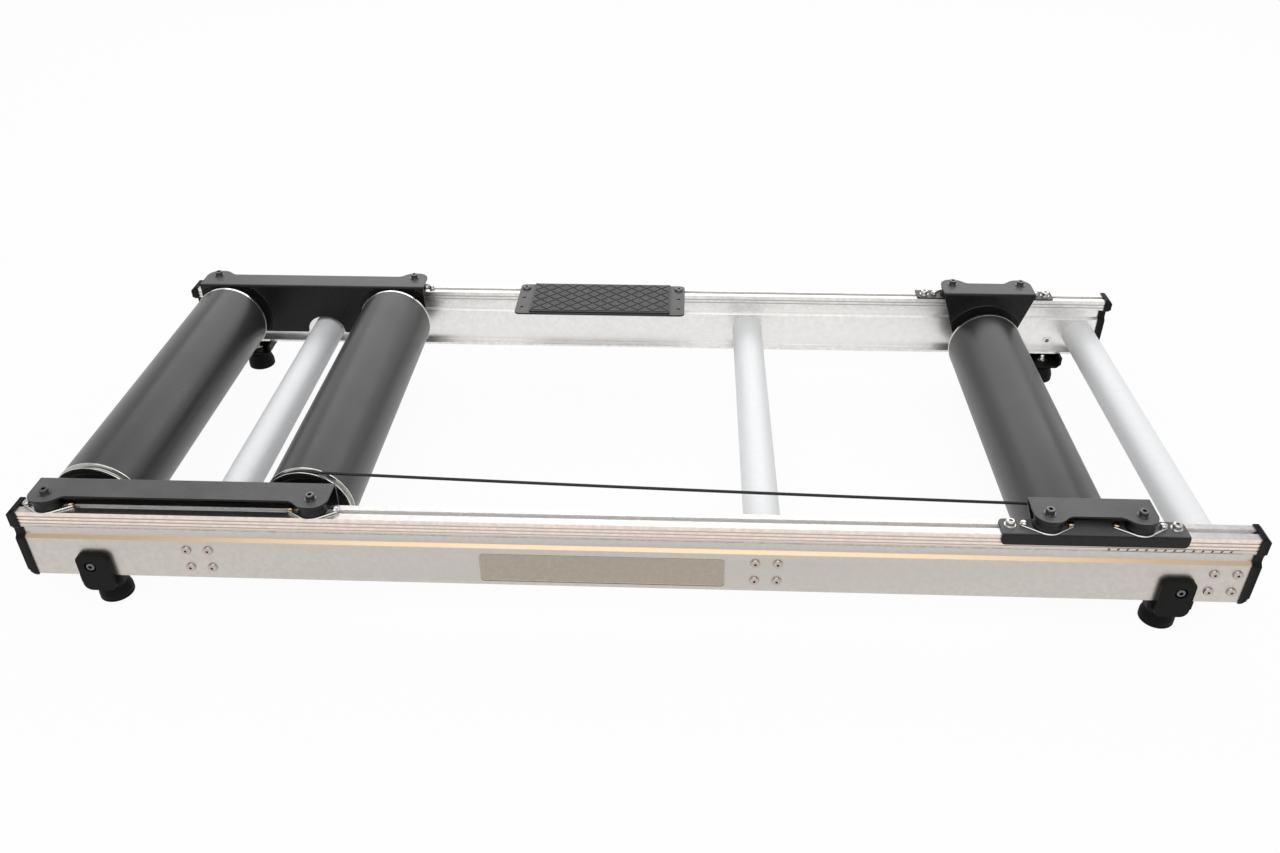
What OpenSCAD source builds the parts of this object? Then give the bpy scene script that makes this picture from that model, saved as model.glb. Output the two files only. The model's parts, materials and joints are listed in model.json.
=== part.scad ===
// Bicycle training rollers: two aluminium rails joined by three crossbars carry
// two rear drums and one belt-driven front drum on rubber-sprung carriages.
// +X runs along the rails towards the front drum, +Y across, +Z up from the floor.

/* [Rails] */
// Length of each rail
rail_l = 1365; // [1300:1:1450]
// Height of the rail's section
rail_h = 90.5; // [86:0.5:100]
// Distance between the outer faces of the two rails
frame_w = 571; // [540:1:620]
// Width of the rail's head
head_w = 25; // [24:0.5:30]
// Height of the head on the outer side
head_out_h = 21; // [19:0.5:24]
// Height of the head on the inner side
head_in_h = 15; // [13:0.5:18]
// Width of the hollow lower box
box_w = 13.5; // [12:0.5:16]
// Height of the hollow lower box with its chamfer
box_h = 57; // [54:0.5:62]
// Depth of the recess between head and box, and size of the box's chamfer
recess_d = 4; // [3:0.5:5]
// Thickness of the neck between head and box
neck_t = 5.5; // [4:0.5:7]
// Wall of the box
rail_wall = 2.5; // [2:0.5:3.5]
// Thickness of the inward lip at the bottom
lip_t = 3.5; // [2:0.5:5]
// Depth of the fine grooves along the head
groove_d = 0.8; // [0.4:0.1:1.2]
// Width of the fine grooves along the head
groove_w = 1.6; // [0.8:0.1:2.2]
// Distance from one fine groove to the next
groove_pitch = 4.7; // [3.5:0.1:5]
// Depth of the first fine groove's centre below the rail's top
groove_first = 6.2; // [4:0.1:6.5]

/* [T-slot] */
// Distance of the slot's centre from the rail's outer face
slot_out = 13.5; // [12.5:0.5:14]
// Width of the slot's mouth
slot_w = 6.4; // [6.2:0.1:7.5]
// Thickness of the slot's lips
slot_lip = 2.5; // [2:0.5:3.5]
// Width of the slot's inner channel
slot_in_w = 12; // [11:0.5:14]
// Height of the slot's inner channel
slot_in_h = 5; // [4.6:0.2:6]
// Thickness of a slot nut
nut_t = 4; // [3:0.5:4.2]

/* [End caps] */
// Thickness of the cap beyond the rail's end
cap_t = 10.5; // [6:0.5:14]
// Depth of the cap's stepped outer edge
cap_edge = 3; // [1:0.5:5]
// How far the cap stands proud of the rail's outline
cap_proud = 2; // [1:0.5:3]
// Length of the cap's plug inside the rail's box
cap_plug_l = 8; // [4:0.5:9]

/* [Crossbars] */
// Outside diameter of the crossbar tubes
bar_d = 44; // [40:1:48]
// Wall of the crossbar tubes
bar_wall = 1.5; // [1.5:0.1:1.6]
// Height of the crossbars' axis above the rails' bottom
bar_h = 28.3; // [27:0.1:30]
// Distance of the rear crossbar in front of the rear carriage's middle
bar_rear_ahead = 12; // [8:0.5:16]
// Distance of the middle crossbar from the rails' front end
bar_mid_end = 525.5; // [480:0.5:570]
// Distance of the front crossbar from the rails' front end
bar_front_end = 24.5; // [24:0.5:26]
// Side of the square of four screws at each crossbar end
bar_screw_sq = 25; // [22:0.5:25]
// Length of the plug inside each crossbar end
bar_plug_l = 22; // [15:1:40]

/* [Feet] */
// Height of the rails' bottom above the floor
foot_h = 44; // [42:0.5:56]
// Distance of each foot from the rails' ends
foot_end = 72.5; // [68:0.5:90]
// Distance of the foot's centre inside the rail's outer face
foot_in = 20; // [18:0.5:22]
// Width of the bracket's tab
tab_w = 38; // [34:1:44]
// Thickness of the bracket's tab
tab_t = 7; // [5:0.5:9]
// Height of the tab's top above the rail's bottom
tab_up = 34; // [30:0.5:38]
// Depth of the bracket's shelf below the rail's bottom
shelf_drop = 18; // [16:0.5:19]
// Thickness of the bracket's shelf
shelf_t = 4; // [3:0.5:5]
// Width of the bracket's shelf
shelf_w = 50; // [46:1:58]
// Thickness of the bracket's side walls
side_t = 4; // [3:0.5:5]
// Reach of the shelf inwards from the rail's outer face
shelf_in = 38; // [34:1:40]
// Diameter of the rubber foot at the floor
puck_d = 39; // [38:1:48]
// Diameter of the rubber foot's top
puck_top_d = 32; // [28:1:36]
// Height of the straight rim of the rubber foot
puck_rim = 8; // [5:0.5:10]
// Free gap between the rubber foot and the shelf
puck_gap = 3; // [2.2:0.1:4]
// Height of the tab's screw above the rail's bottom
tab_screw_h = 17; // [14:0.5:20]
// Offset of the tab's screw towards the rail's end
tab_screw_dx = 4; // [0:0.5:6]
// Depth of the recess for the tab's screw head
tab_recess = 5; // [3:0.5:5]

/* [Drums] */
// Outside diameter of the drums
drum_d = 104; // [98:1:108]
// Wall of the drum's shell
drum_wall = 2.5; // [2:0.5:4]
// Gap between a drum's end and its carriage plate
drum_gap = 13.5; // [10:0.5:18]
// Width of the belt pulley on a drum's near end
pulley_w = 11; // [10:0.5:14]
// Thickness of each of the pulley's two rims
rim_t = 1.3; // [1:0.1:1.6]
// How far the rims stand above the shell
rim_up = 0.5; // [0.2:0.1:1]
// Width of the plain ring on a drum's far end
ring_w = 5; // [3:0.5:8]
// Length of the ring's spigot inside the shell
spigot_l = 12; // [8:1:20]
// Wall of the spigot
spigot_wall = 3.4; // [3:0.1:4]
// Depth of the hub's face inside the drum's end
hub_in = 3; // [1:0.5:5]
// Thickness of the hub
hub_t = 12; // [11:0.5:16]
// Distance between the two rear axles
rear_pitch = 250; // [230:1:262]
// Depth of the rear axles below their flange's top
rear_drop = 50.5; // [48:0.5:52]
// Depth of the front axle below its flange's top
front_drop = 77; // [72:0.5:80]
// Outside diameter of the bearings
bearing_d = 30; // [26:1:32]
// Width of the bearings
bearing_w = 9; // [7:0.5:10]
// Diameter of the axles
axle_d = 10; // [8:0.5:12]
// Diameter of the collars on the axles
collar_d = 15; // [14:0.5:18]

/* [Belt] */
// Diameter of the round drive belt
belt_d = 3.6; // [3:0.1:5]
// Depth of the belt's centre below the rims' edge
belt_in = 2.4; // [2.2:0.1:3]

/* [Carriages] */
// Thickness of the folded plates
plate_t = 2.5; // [2:0.5:3]
// Gap between the rail's head and the hanging plate
plate_gap = 17; // [15:0.5:20]
// Width of the flange beyond the slot's centre
flange_over = 4.3; // [2:0.1:8]
// Radius of the lobes over the dampers
lobe_r = 16; // [15:0.5:17]
// Half length of the straight part of each lobe
lobe_s = 3; // [0:0.5:5]
// Distance of the first rear damper from the rails' rear end
rear_damper_end = 34; // [32:0.5:60]
// Distance between the rear carriage's two dampers
rear_span = 300; // [290:1:310]
// Reach of the rear hanging plate below the axles
rear_below = 28; // [24:0.5:32]
// Free space around the rear crossbar in the plate's arch
arch_gap = 6; // [5.5:0.5:8]
// Distance between the front carriage's two dampers
front_span = 99; // [92:1:104]
// Width of the front hanging plate at its top
front_top_w = 132; // [126:1:136]
// Width of the front hanging plate at its bottom
front_bottom_w = 72; // [64:1:80]
// Reach of the front hanging plate below the axle
front_below = 24; // [20:0.5:26]
// Height of the raised ring round each drum on its hanging plates
ring_up = 1; // [0.5:0.1:1.5]
// Distance of the raised ring outside the drum's radius
ring_out = 3; // [2:0.5:5]
// Width of the raised ring
ring_band = 4; // [2:0.5:6]

/* [Dampers] */
// Height of the rubber dampers
damper_h = 14.5; // [13:0.5:18]
// Diameter of the rubber dampers
damper_d = 31; // [28:0.5:32]
// Depth of the waist round each damper
waist_d = 1.5; // [0.5:0.5:3]
// Height of the band above and below the waist
waist_band = 3.5; // [2.5:0.5:5]
// Distance between the two pins of a wire bail
pin_span = 50; // [48:0.5:52]
// Thickness of the bail's wire
wire_d = 2; // [1.6:0.1:2.4]

/* [Front slider] */
// Distance of the front slider's middle from the rails' front end
slider_end = 175.5; // [160:0.5:200]
// Length of the slider's base plates
base_l = 200; // [196:1:220]
// Thickness of the slider's base plates
base_t = 2; // [1.5:0.5:3]
// Height of the lip over the rail's outer side
base_lip = 14.8; // [10:0.2:18]
// Distance between the two clamp bolts of a base plate
bolt_span = 178; // [176:1:184]

/* [Step] */
// Step's place along the rails
step_x = -63.5; // [-100:1:0]
// Length of the step
step_l = 248; // [220:1:280]
// Depth of the step
step_w = 92; // [80:1:100]
// Thickness of the step's plate
step_t = 2.5; // [2:0.5:3]
// Length of the rubber mat
mat_l = 205; // [180:1:210]
// Gap between the mat and the step's long edges
mat_edge = 2; // [1:0.5:4]
// Thickness of the rubber mat
mat_t = 3.5; // [2:0.5:5]
// Distance between the step's two screws
step_screw_span = 230; // [224:1:234]
// Distance between the small holes beside the mat
step_hole_pitch = 30; // [20:1:32]
// Diameter of the small holes beside the mat
step_hole_d = 5.2; // [4:0.2:6]

/* [Nameplate] */
// Length of the plain nameplate
name_l = 275; // [200:1:300]
// Height of the plain nameplate
name_h = 39; // [30:0.5:42]
// Thickness of the plain nameplate
name_t = 0.8; // [0.5:0.1:1]
// Depth of its pocket in the rail
name_pocket = 1; // [0.9:0.1:1.4]
// Nameplate's place along the rail
name_x = -27; // [-60:1:20]
// Height of the nameplate's centre above the rail's bottom
name_up = 25.3; // [24:0.1:27]

/* [Fasteners] */
// Diameter of the crossbar screws
bar_screw_d = 5; // [4:0.5:5]
// Diameter of the carriage, slider, step and bracket screws
m_screw_d = 6; // [5:0.5:6]
// Diameter of the bail pins in the slot
pin_d = 5; // [4:0.5:5.5]
// Width of the axle nuts across their flats
nut_w = 16; // [14:0.5:18]
// Thickness of the axle nuts
axle_nut_t = 7; // [5:0.5:8]
// Diameter of the foot's stud
stud_d = 10; // [8:0.5:12]

/* [Hidden] */
$fn = 64;

// Clearances
fit = 0.05;
seat = 0.1;
loose = 0.3;
cut = 1;

// Heights above the floor and distances from the middle plane
rail_z0 = foot_h;
rail_z1 = foot_h + rail_h;
out_y = frame_w / 2;
head_y = out_y - head_w;
web_y = out_y - box_w;
slot_y = out_y - slot_out;
bar_z = rail_z0 + bar_h;
bar_r = bar_d / 2;
rear_x = rear_damper_end + rear_span / 2 - rail_l / 2;
slider_x = rail_l / 2 - slider_end;
foot_x = rail_l / 2 - foot_end;
bar_rear_x = rear_x + bar_rear_ahead;
bar_mid_x = rail_l / 2 - bar_mid_end;
bar_front_x = rail_l / 2 - bar_front_end;
bar_xs = [bar_rear_x, bar_mid_x, bar_front_x];
plate_y = head_y - plate_gap;
plate_in_y = plate_y - plate_t;

// Carriages
rear_flange_z = rail_z1 + damper_h;
base_z = rail_z1 + seat;
step_z = rail_z1 + seat;
front_flange_z = base_z + base_t + damper_h;
rear_axle_z = rear_flange_z + plate_t - rear_drop;
front_axle_z = front_flange_z + plate_t - front_drop;
rear_drum_x = rear_x - rear_pitch / 2;
mid_drum_x = rear_x + rear_pitch / 2;
arch_r = bar_r + arch_gap;

// Drums
drum_r = drum_d / 2;
drum_half = plate_in_y - drum_gap;
rim_r = drum_r + rim_up;
spigot_r = drum_r - drum_wall - fit;
spigot_bore = spigot_r - spigot_wall;
hub_r = spigot_bore - fit;
hub_y = drum_half - hub_in;
hub_bore_r = collar_d / 2 + 1;
ring_bevel = 1;
axle_r = axle_d / 2;
axle_over = 1.5;
axle_washer_r = nut_w / 2 + 2;

// Belt
belt_r = belt_d / 2;
belt_round = rim_r - belt_in;
belt_y = drum_half - pulley_w / 2;
belt_run = norm([slider_x - mid_drum_x, front_axle_z - rear_axle_z]);
belt_tilt = atan2(front_axle_z - rear_axle_z, slider_x - mid_drum_x);
groove_r = belt_round - belt_r - loose;

// Dampers and their bails
damper_r = damper_d / 2;
wire_r = wire_d / 2;
wire_round = damper_r + loose + wire_r;
pin_neck_r = 2;
eye_r = pin_neck_r + loose + wire_r;
wire_turn = acos((wire_round - eye_r) / (pin_span / 2));
wire_hook = 215;
wire_bead = 0.04;
wire_part = 0.1;
wire_up = wire_r + 0.5;
pin_neck_h = wire_up + wire_r + 0.5;
pin_head_r = 4;
pin_top_r = 2.8;
pin_head_h = 2.6;
insert_d = 9;
screw_short = 1;

// Screw heads and their sockets
bar_head_r = 5.6;
bar_head_h = 3;
cap_head_r = 5;
cap_head_h = 5;
washer_r = 7;
washer_t = 1.6;
bolt_washer_r = 6.5;
button_r = 6.5;
button_h = 3.4;
socket_depth = 2.2;
key_r = 2.5;
bar_key_r = 1.7;
tab_head_r = 5;
tab_head_h = 4;
tab_recess_r = 8.5;
rivet_r = 5;
rivet_t = 1;
m_r = m_screw_d / 2;

// Feet
foot_y = out_y - foot_in;
shelf_z = rail_z0 - shelf_drop;
puck_top_z = shelf_z - puck_gap;
stud_r = stud_d / 2;
stud_top = rail_z0 - puck_gap;
stud_foot_z = puck_rim - 2;
puck_edge = 1.5;
puck_neck_h = 3;
lock_nut_t = 5;
lock_nut_w = stud_d * 1.7;
tab_corner = 7;

// Caps, plugs and the mat's edge
cap_inset = 1.5;
plug_floor = 2;
mat_bevel = 1;
mat_corner = 2;

// Lobes' blend into the flange's straight edge
lobe_run = 3;
lobe_turn = 47.5;

// Corner radii
plate_corner = 6;
step_corner = 7;
name_corner = 3;

module both_sides() {
  children();
  mirror([0, 1, 0]) children();
}

// Places a shape drawn for the front near foot at all four corners
module four_feet() {
  both_sides() for (m = [0, 1]) mirror([m, 0, 0]) translate([foot_x, -foot_y, 0]) children();
}

module rounded(l, w, r) {
  translate([r - l / 2, -w / 2]) square([l - 2 * r, w]);
  translate([-l / 2, r - w / 2]) square([l, w - 2 * r]);
  for (sx = [-1, 1], sy = [-1, 1]) translate([sx * (l / 2 - r), sy * (w / 2 - r)]) circle(r);
}

// Head above z = 0 with a hexagon socket, shank below
module screw(head_r, head_h, shank_r, shank_l, socket_r) {
  difference() {
    union() {
      cylinder(r = head_r, h = head_h);
      translate([0, 0, -shank_l]) cylinder(r = shank_r, h = shank_l + cut);
    }
    translate([0, 0, head_h - socket_depth]) cylinder(r = socket_r, h = socket_depth + cut, $fn = 6);
  }
}

module domed_screw(head_r, head_h, shank_r, shank_l, socket_r) {
  difference() {
    union() {
      rotate_extrude() intersection() {
        translate([0, head_h - head_r * 1.35]) circle(head_r * 1.35);
        square([head_r, head_h]);
      }
      translate([0, 0, -shank_l]) cylinder(r = shank_r, h = shank_l + cut);
    }
    translate([0, 0, head_h - socket_depth]) cylinder(r = socket_r, h = socket_depth + cut, $fn = 6);
  }
}

module washer(outer_r, hole_r, t) {
  difference() {
    cylinder(r = outer_r, h = t);
    translate([0, 0, -cut]) cylinder(r = hole_r, h = t + 2 * cut);
  }
}

module hex_nut(flats, hole_r, t) {
  difference() {
    cylinder(r = flats / 2 / cos(30), h = t, $fn = 6);
    translate([0, 0, -cut]) cylinder(r = hole_r, h = t + 2 * cut);
  }
}

// Section of a rail: x inwards from the outer face, y up from the bottom
function rail_outline(m) = [
  [-m, -m],
  [-m, box_h - recess_d],
  [recess_d - m, box_h],
  [recess_d - m, rail_h - head_out_h - m],
  [-m, rail_h - head_out_h - m],
  [-m, rail_h + m],
  [head_w + m, rail_h + m],
  [head_w + m, rail_h - head_in_h - m],
  [recess_d + neck_t + m, rail_h - head_in_h - m],
  [recess_d + neck_t + m, box_h],
  [box_w + m, box_h - (box_w - recess_d - neck_t)],
  [box_w + m, lip_t + m],
  [head_w + m, lip_t + m],
  [head_w + m, -m]
];

module box_hollow(gap) {
  translate([rail_wall + gap, rail_wall + gap])
    square([box_w - 2 * (rail_wall + gap), box_h - recess_d - 2 * rail_wall - 2 * gap]);
}

module rail_section() {
  difference() {
    polygon(rail_outline(0));
    box_hollow(0);
    translate([slot_out - slot_w / 2, rail_h - slot_lip - cut]) square([slot_w, slot_lip + 2 * cut]);
    translate([slot_out - slot_in_w / 2, rail_h - slot_lip - slot_in_h]) square([slot_in_w, slot_in_h]);
    for (i = [0:2]) translate([-cut, rail_h - groove_first - i * groove_pitch - groove_w / 2])
      square([groove_d + cut, groove_w]);
    for (i = [0:1]) translate([head_w - groove_d, rail_h - groove_first - i * groove_pitch - groove_w / 2])
      square([groove_d + cut, groove_w]);
  }
}

// Stands a drawing of the rail's section along the rail on the near side
module along_rail(x, l) {
  translate([x, -out_y, rail_z0]) rotate([90, 0, 90]) linear_extrude(l) children();
}

module bar_screw_places() {
  half = bar_screw_sq / 2;
  for (x = bar_xs, dx = [-half, half], dz = [-half, half])
    translate([x + dx, -out_y, bar_z + dz]) rotate([90, 0, 0]) children();
}

module tab_screw_places() {
  for (s = [-1, 1])
    translate([s * (foot_x + tab_screw_dx), -out_y, rail_z0 + tab_screw_h]) rotate([90, 0, 0]) children();
}

module rail_blank() {
  difference() {
    along_rail(-rail_l / 2, rail_l) rail_section();
    translate([0, box_w + cut, 0]) {
      bar_screw_places() cylinder(r = bar_screw_d / 2 + loose, h = box_w + 2 * cut);
      tab_screw_places() cylinder(r = m_r + loose, h = box_w + 2 * cut);
    }
  }
}

module rail_near() {
  color([0.74, 0.72, 0.69]) difference() {
    rail_blank();
    translate([name_x, -out_y + name_pocket, rail_z0 + name_up]) rotate([90, 0, 0])
      linear_extrude(name_pocket + cut) rounded(name_l + 2 * loose, name_h + 2 * loose, name_corner);
  }
}

module rail_far() {
  color([0.74, 0.72, 0.69]) mirror([0, 1, 0]) rail_blank();
}

module rail_cap() {
  color([0.09, 0.09, 0.1]) {
    along_rail(rail_l / 2, cap_t - cap_edge) polygon(rail_outline(cap_proud));
    along_rail(rail_l / 2, cap_t) polygon(rail_outline(cap_proud - cap_inset));
    along_rail(rail_l / 2 - cap_plug_l, cap_plug_l + cut) box_hollow(loose);
  }
}

module rail_caps_rear() {
  both_sides() mirror([1, 0, 0]) rail_cap();
}

module rail_caps_front() {
  both_sides() rail_cap();
}

module crossbar(x) {
  color([0.82, 0.83, 0.84]) translate([x, web_y, bar_z]) rotate([90, 0, 0]) difference() {
    cylinder(r = bar_r, h = 2 * web_y);
    translate([0, 0, -cut]) cylinder(r = bar_r - bar_wall, h = 2 * web_y + 2 * cut);
  }
}

module crossbar_rear() { crossbar(bar_rear_x); }
module crossbar_middle() { crossbar(bar_mid_x); }
module crossbar_front() { crossbar(bar_front_x); }

module crossbar_plugs() {
  color([0.62, 0.62, 0.63]) both_sides() difference() {
    for (x = bar_xs) translate([x, -web_y, bar_z]) rotate([-90, 0, 0])
      cylinder(r = bar_r - bar_wall - fit, h = bar_plug_l);
    bar_screw_places() translate([0, 0, plug_floor - box_w - bar_plug_l])
      cylinder(r = bar_screw_d / 2 + fit, h = bar_plug_l + box_w);
  }
}

module crossbar_screws() {
  color([0.8, 0.8, 0.8]) both_sides() bar_screw_places()
    domed_screw(bar_head_r, bar_head_h, bar_screw_d / 2, box_w + bar_plug_l - 2 * plug_floor, bar_key_r);
}

module nameplate() {
  color([0.62, 0.58, 0.54]) translate([name_x, -out_y + name_pocket, rail_z0 + name_up]) rotate([90, 0, 0])
    linear_extrude(name_t) rounded(name_l, name_h, name_corner);
}

// Holes beside the mat: the screw's hole, then the small ones further in
module step_hole_places(rows) {
  for (s = [-1, 1], k = rows)
    translate([step_x + s * step_screw_span / 2, slot_y - k * step_hole_pitch, step_z - cut]) children();
}

module step_plate() {
  color([0.2, 0.2, 0.21]) difference() {
    translate([step_x, out_y - step_w / 2, step_z])
      linear_extrude(step_t) rounded(step_l, step_w, step_corner);
    step_hole_places([0]) cylinder(r = m_r + loose, h = step_t + 2 * cut);
    step_hole_places([1, 2]) cylinder(d = step_hole_d, h = step_t + 2 * cut);
  }
}

module step_mat() {
  mat_w = step_w - 2 * mat_edge;
  color([0.27, 0.27, 0.28]) translate([step_x, out_y - step_w / 2, step_z + step_t]) {
    linear_extrude(mat_t - mat_bevel) rounded(mat_l, mat_w, mat_corner);
    linear_extrude(mat_t) rounded(mat_l - 2 * mat_bevel, mat_w - 2 * mat_bevel, mat_corner);
  }
}

module step_screws() {
  color([0.08, 0.08, 0.08]) for (s = [-1, 1])
    translate([step_x + s * step_screw_span / 2, slot_y, step_z + step_t])
      domed_screw(button_r, button_h, m_r, step_t + slot_lip + nut_t, key_r);
}

module t_nut(hole_r) {
  difference() {
    translate([loose - slot_in_w / 2, loose - slot_in_w / 2, -slot_lip - nut_t - seat])
      cube([slot_in_w - 2 * loose, slot_in_w - 2 * loose, nut_t]);
    translate([0, 0, -slot_lip - nut_t - cut]) cylinder(r = hole_r, h = nut_t + 2 * cut);
  }
}

module step_nuts() {
  color([0.7, 0.7, 0.7]) for (s = [-1, 1])
    translate([step_x + s * step_screw_span / 2, slot_y, rail_z1]) t_nut(m_r + fit);
}

module foot_bracket() {
  top = rail_z0 + tab_up;
  color([0.1, 0.1, 0.1]) difference() {
    union() {
      translate([0, -foot_in, 0]) rotate([90, 0, 0]) linear_extrude(tab_t)
        translate([0, (top + shelf_z) / 2]) rounded(tab_w, top - shelf_z, tab_corner);
      translate([-shelf_w / 2, -foot_in, shelf_z]) cube([shelf_w, shelf_in, shelf_t]);
      for (s = [-1, 1]) translate([s * (shelf_w - side_t) / 2 - side_t / 2, -foot_in, shelf_z])
        cube([side_t, shelf_in, shelf_drop]);
      translate([-shelf_w / 2, -foot_in, shelf_z]) cube([shelf_w, side_t, shelf_drop]);
    }
    translate([tab_screw_dx, -foot_in + cut, rail_z0 + tab_screw_h]) rotate([90, 0, 0])
      cylinder(r = m_r + loose, h = tab_t + 2 * cut);
    translate([tab_screw_dx, -foot_in - tab_t + tab_recess, rail_z0 + tab_screw_h]) rotate([90, 0, 0])
      cylinder(r = tab_recess_r, h = tab_recess + cut);
    translate([0, 0, shelf_z - cut]) cylinder(r = stud_r + fit, h = shelf_t + 2 * cut);
  }
}

module foot_brackets() {
  four_feet() foot_bracket();
}

module foot_bracket_screws() {
  color([0.35, 0.35, 0.35]) both_sides() tab_screw_places() translate([0, 0, tab_t - tab_recess])
    screw(tab_head_r, tab_head_h, m_r, tab_t - tab_recess + box_w + rivet_t / 2, key_r);
}

module foot_rivet_nuts() {
  color([0.7, 0.7, 0.7]) both_sides() tab_screw_places() translate([0, 0, -box_w - rivet_t])
    washer(rivet_r, m_r + fit, rivet_t);
}

module foot_lock_nuts() {
  color([0.75, 0.75, 0.75]) four_feet() translate([0, 0, shelf_z + shelf_t])
    hex_nut(lock_nut_w, stud_r + fit, lock_nut_t);
}

module foot_puck() {
  color([0.06, 0.06, 0.06]) difference() {
    rotate_extrude() polygon([
      [0, 0],
      [puck_d / 2 - puck_edge, 0],
      [puck_d / 2, puck_edge],
      [puck_d / 2, puck_rim],
      [puck_top_d / 2, puck_top_z - puck_neck_h],
      [puck_top_d / 2, puck_top_z],
      [0, puck_top_z]
    ]);
    translate([0, 0, stud_foot_z]) cylinder(r = stud_r, h = puck_top_z);
  }
}

module foot_stud() {
  color([0.78, 0.78, 0.78]) translate([0, 0, stud_foot_z]) cylinder(r = stud_r, h = stud_top - stud_foot_z);
}

module foot_puck_rn() { translate([-foot_x, -foot_y, 0]) foot_puck(); }
module foot_puck_rf() { translate([-foot_x, foot_y, 0]) foot_puck(); }
module foot_puck_fn() { translate([foot_x, -foot_y, 0]) foot_puck(); }
module foot_puck_ff() { translate([foot_x, foot_y, 0]) foot_puck(); }
module foot_stud_rn() { translate([-foot_x, -foot_y, 0]) foot_stud(); }
module foot_stud_rf() { translate([-foot_x, foot_y, 0]) foot_stud(); }
module foot_stud_fn() { translate([foot_x, -foot_y, 0]) foot_stud(); }
module foot_stud_ff() { translate([foot_x, foot_y, 0]) foot_stud(); }

// Near-side places of the dampers and of their pins for a carriage at x
module damper_places(x, span) {
  for (s = [-1, 1]) translate([x + s * span / 2, -slot_y, 0]) children();
}

module pin_places(x, span) {
  damper_places(x, span) for (s = [-1, 1]) translate([s * pin_span / 2, 0, 0]) children();
}

module damper(z) {
  color([0.07, 0.07, 0.07]) translate([0, 0, z]) difference() {
    rotate_extrude() polygon([
      [0, 0],
      [damper_r, 0],
      [damper_r, waist_band],
      [damper_r - waist_d, waist_band + waist_d],
      [damper_r - waist_d, damper_h - waist_band - waist_d],
      [damper_r, damper_h - waist_band],
      [damper_r, damper_h],
      [0, damper_h]
    ]);
    translate([0, 0, damper_h - insert_d - cut]) cylinder(r = m_r + fit, h = insert_d + 2 * cut);
  }
}

// Bail round the damper's outer side, hooked round a pin at each end.
// A bead a hair thicker than the wire joins the straight parts to the bends.
module damper_wire(z) {
  straight = pin_span / 2 * sin(wire_turn);
  color([0.85, 0.85, 0.85]) translate([0, 0, z + wire_up]) {
    rotate([0, 0, 180 + wire_turn]) rotate_extrude(angle = 180 - 2 * wire_turn)
      translate([wire_round, 0]) circle(wire_r, $fn = 24);
    for (m = [0, 1]) mirror([m, 0, 0]) {
      translate([pin_span / 2, 0, 0]) rotate([0, 0, -wire_turn]) rotate_extrude(angle = wire_hook)
        translate([eye_r, 0]) circle(wire_r, $fn = 24);
      translate([wire_round * cos(wire_turn), -wire_round * sin(wire_turn), 0]) rotate([0, 0, 90 - wire_turn])
        rotate([0, 90, 0]) {
          translate([0, 0, wire_part]) cylinder(r = wire_r, h = straight - 2 * wire_part, $fn = 24);
          for (h = [0, straight]) translate([0, 0, h]) sphere(wire_r + wire_bead, $fn = 24);
        }
    }
  }
}

// Pin standing at height z, with the slot nut that it is screwed into
module bail_pin(z) {
  depth = z - rail_z1 + slot_lip + nut_t;
  color([0.85, 0.83, 0.8]) {
    translate([0, 0, z]) {
      translate([0, 0, -depth]) cylinder(r = pin_d / 2, h = depth);
      cylinder(r = pin_neck_r, h = pin_neck_h + cut);
      translate([0, 0, pin_neck_h]) cylinder(r1 = pin_head_r, r2 = pin_top_r, h = pin_head_h);
    }
    translate([0, 0, rail_z1]) t_nut(pin_d / 2 + fit);
  }
}

module rear_dampers() { both_sides() damper_places(rear_x, rear_span) damper(rail_z1); }
module rear_damper_wires() { both_sides() damper_places(rear_x, rear_span) damper_wire(rail_z1); }
module rear_damper_pins() { both_sides() pin_places(rear_x, rear_span) bail_pin(rail_z1); }

// Flange with lobes: x along the rail, y outwards from the plate's inner face
module flange_outline(span, half) {
  reach = slot_y - plate_in_y;
  edge = reach + flange_over;
  blend_r = lobe_r - fit;
  translate([-half, 0]) square([2 * half, reach]);
  translate([-span / 2, 0]) square([span, edge]);
  for (s = [-1, 1]) translate([s * span / 2, reach]) {
    for (k = [-1, 1]) translate([k * lobe_s, 0]) circle(lobe_r);
    translate([-lobe_s, -lobe_r]) square([2 * lobe_s, 2 * lobe_r]);
    polygon([
      [-s * (lobe_s + lobe_r + lobe_run), flange_over],
      [-s * (lobe_s + blend_r * cos(lobe_turn)), blend_r * sin(lobe_turn)],
      [0, 0],
      [-s * (lobe_s + lobe_r + lobe_run), 0]
    ]);
  }
}

module flange(x, z, span, half) {
  translate([x, -plate_in_y, z]) mirror([0, 1, 0]) linear_extrude(plate_t) difference() {
    flange_outline(span, half);
    for (s = [-1, 1]) translate([s * span / 2, slot_y - plate_in_y]) circle(m_r + loose);
  }
}

// Stands a drawing in x and z up on the near side, from y outwards
module hang(x, y, t) {
  translate([x, -y, 0]) rotate([90, 0, 0]) linear_extrude(t) children();
}

// Ring raised from a hanging plate towards a drum's end
module ring_shape() {
  difference() {
    circle(drum_r + ring_out + ring_band);
    circle(drum_r + ring_out);
  }
}

module rear_outline() {
  half = rear_span / 2 + lobe_s + lobe_r;
  low = rear_axle_z - rear_below;
  difference() {
    translate([-half, low]) square([2 * half, rear_flange_z + plate_t - low]);
    translate([bar_rear_x - rear_x, bar_z]) circle(arch_r);
    translate([bar_rear_x - rear_x - arch_r, low - cut]) square([2 * arch_r, bar_z - low + cut]);
  }
}

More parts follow.
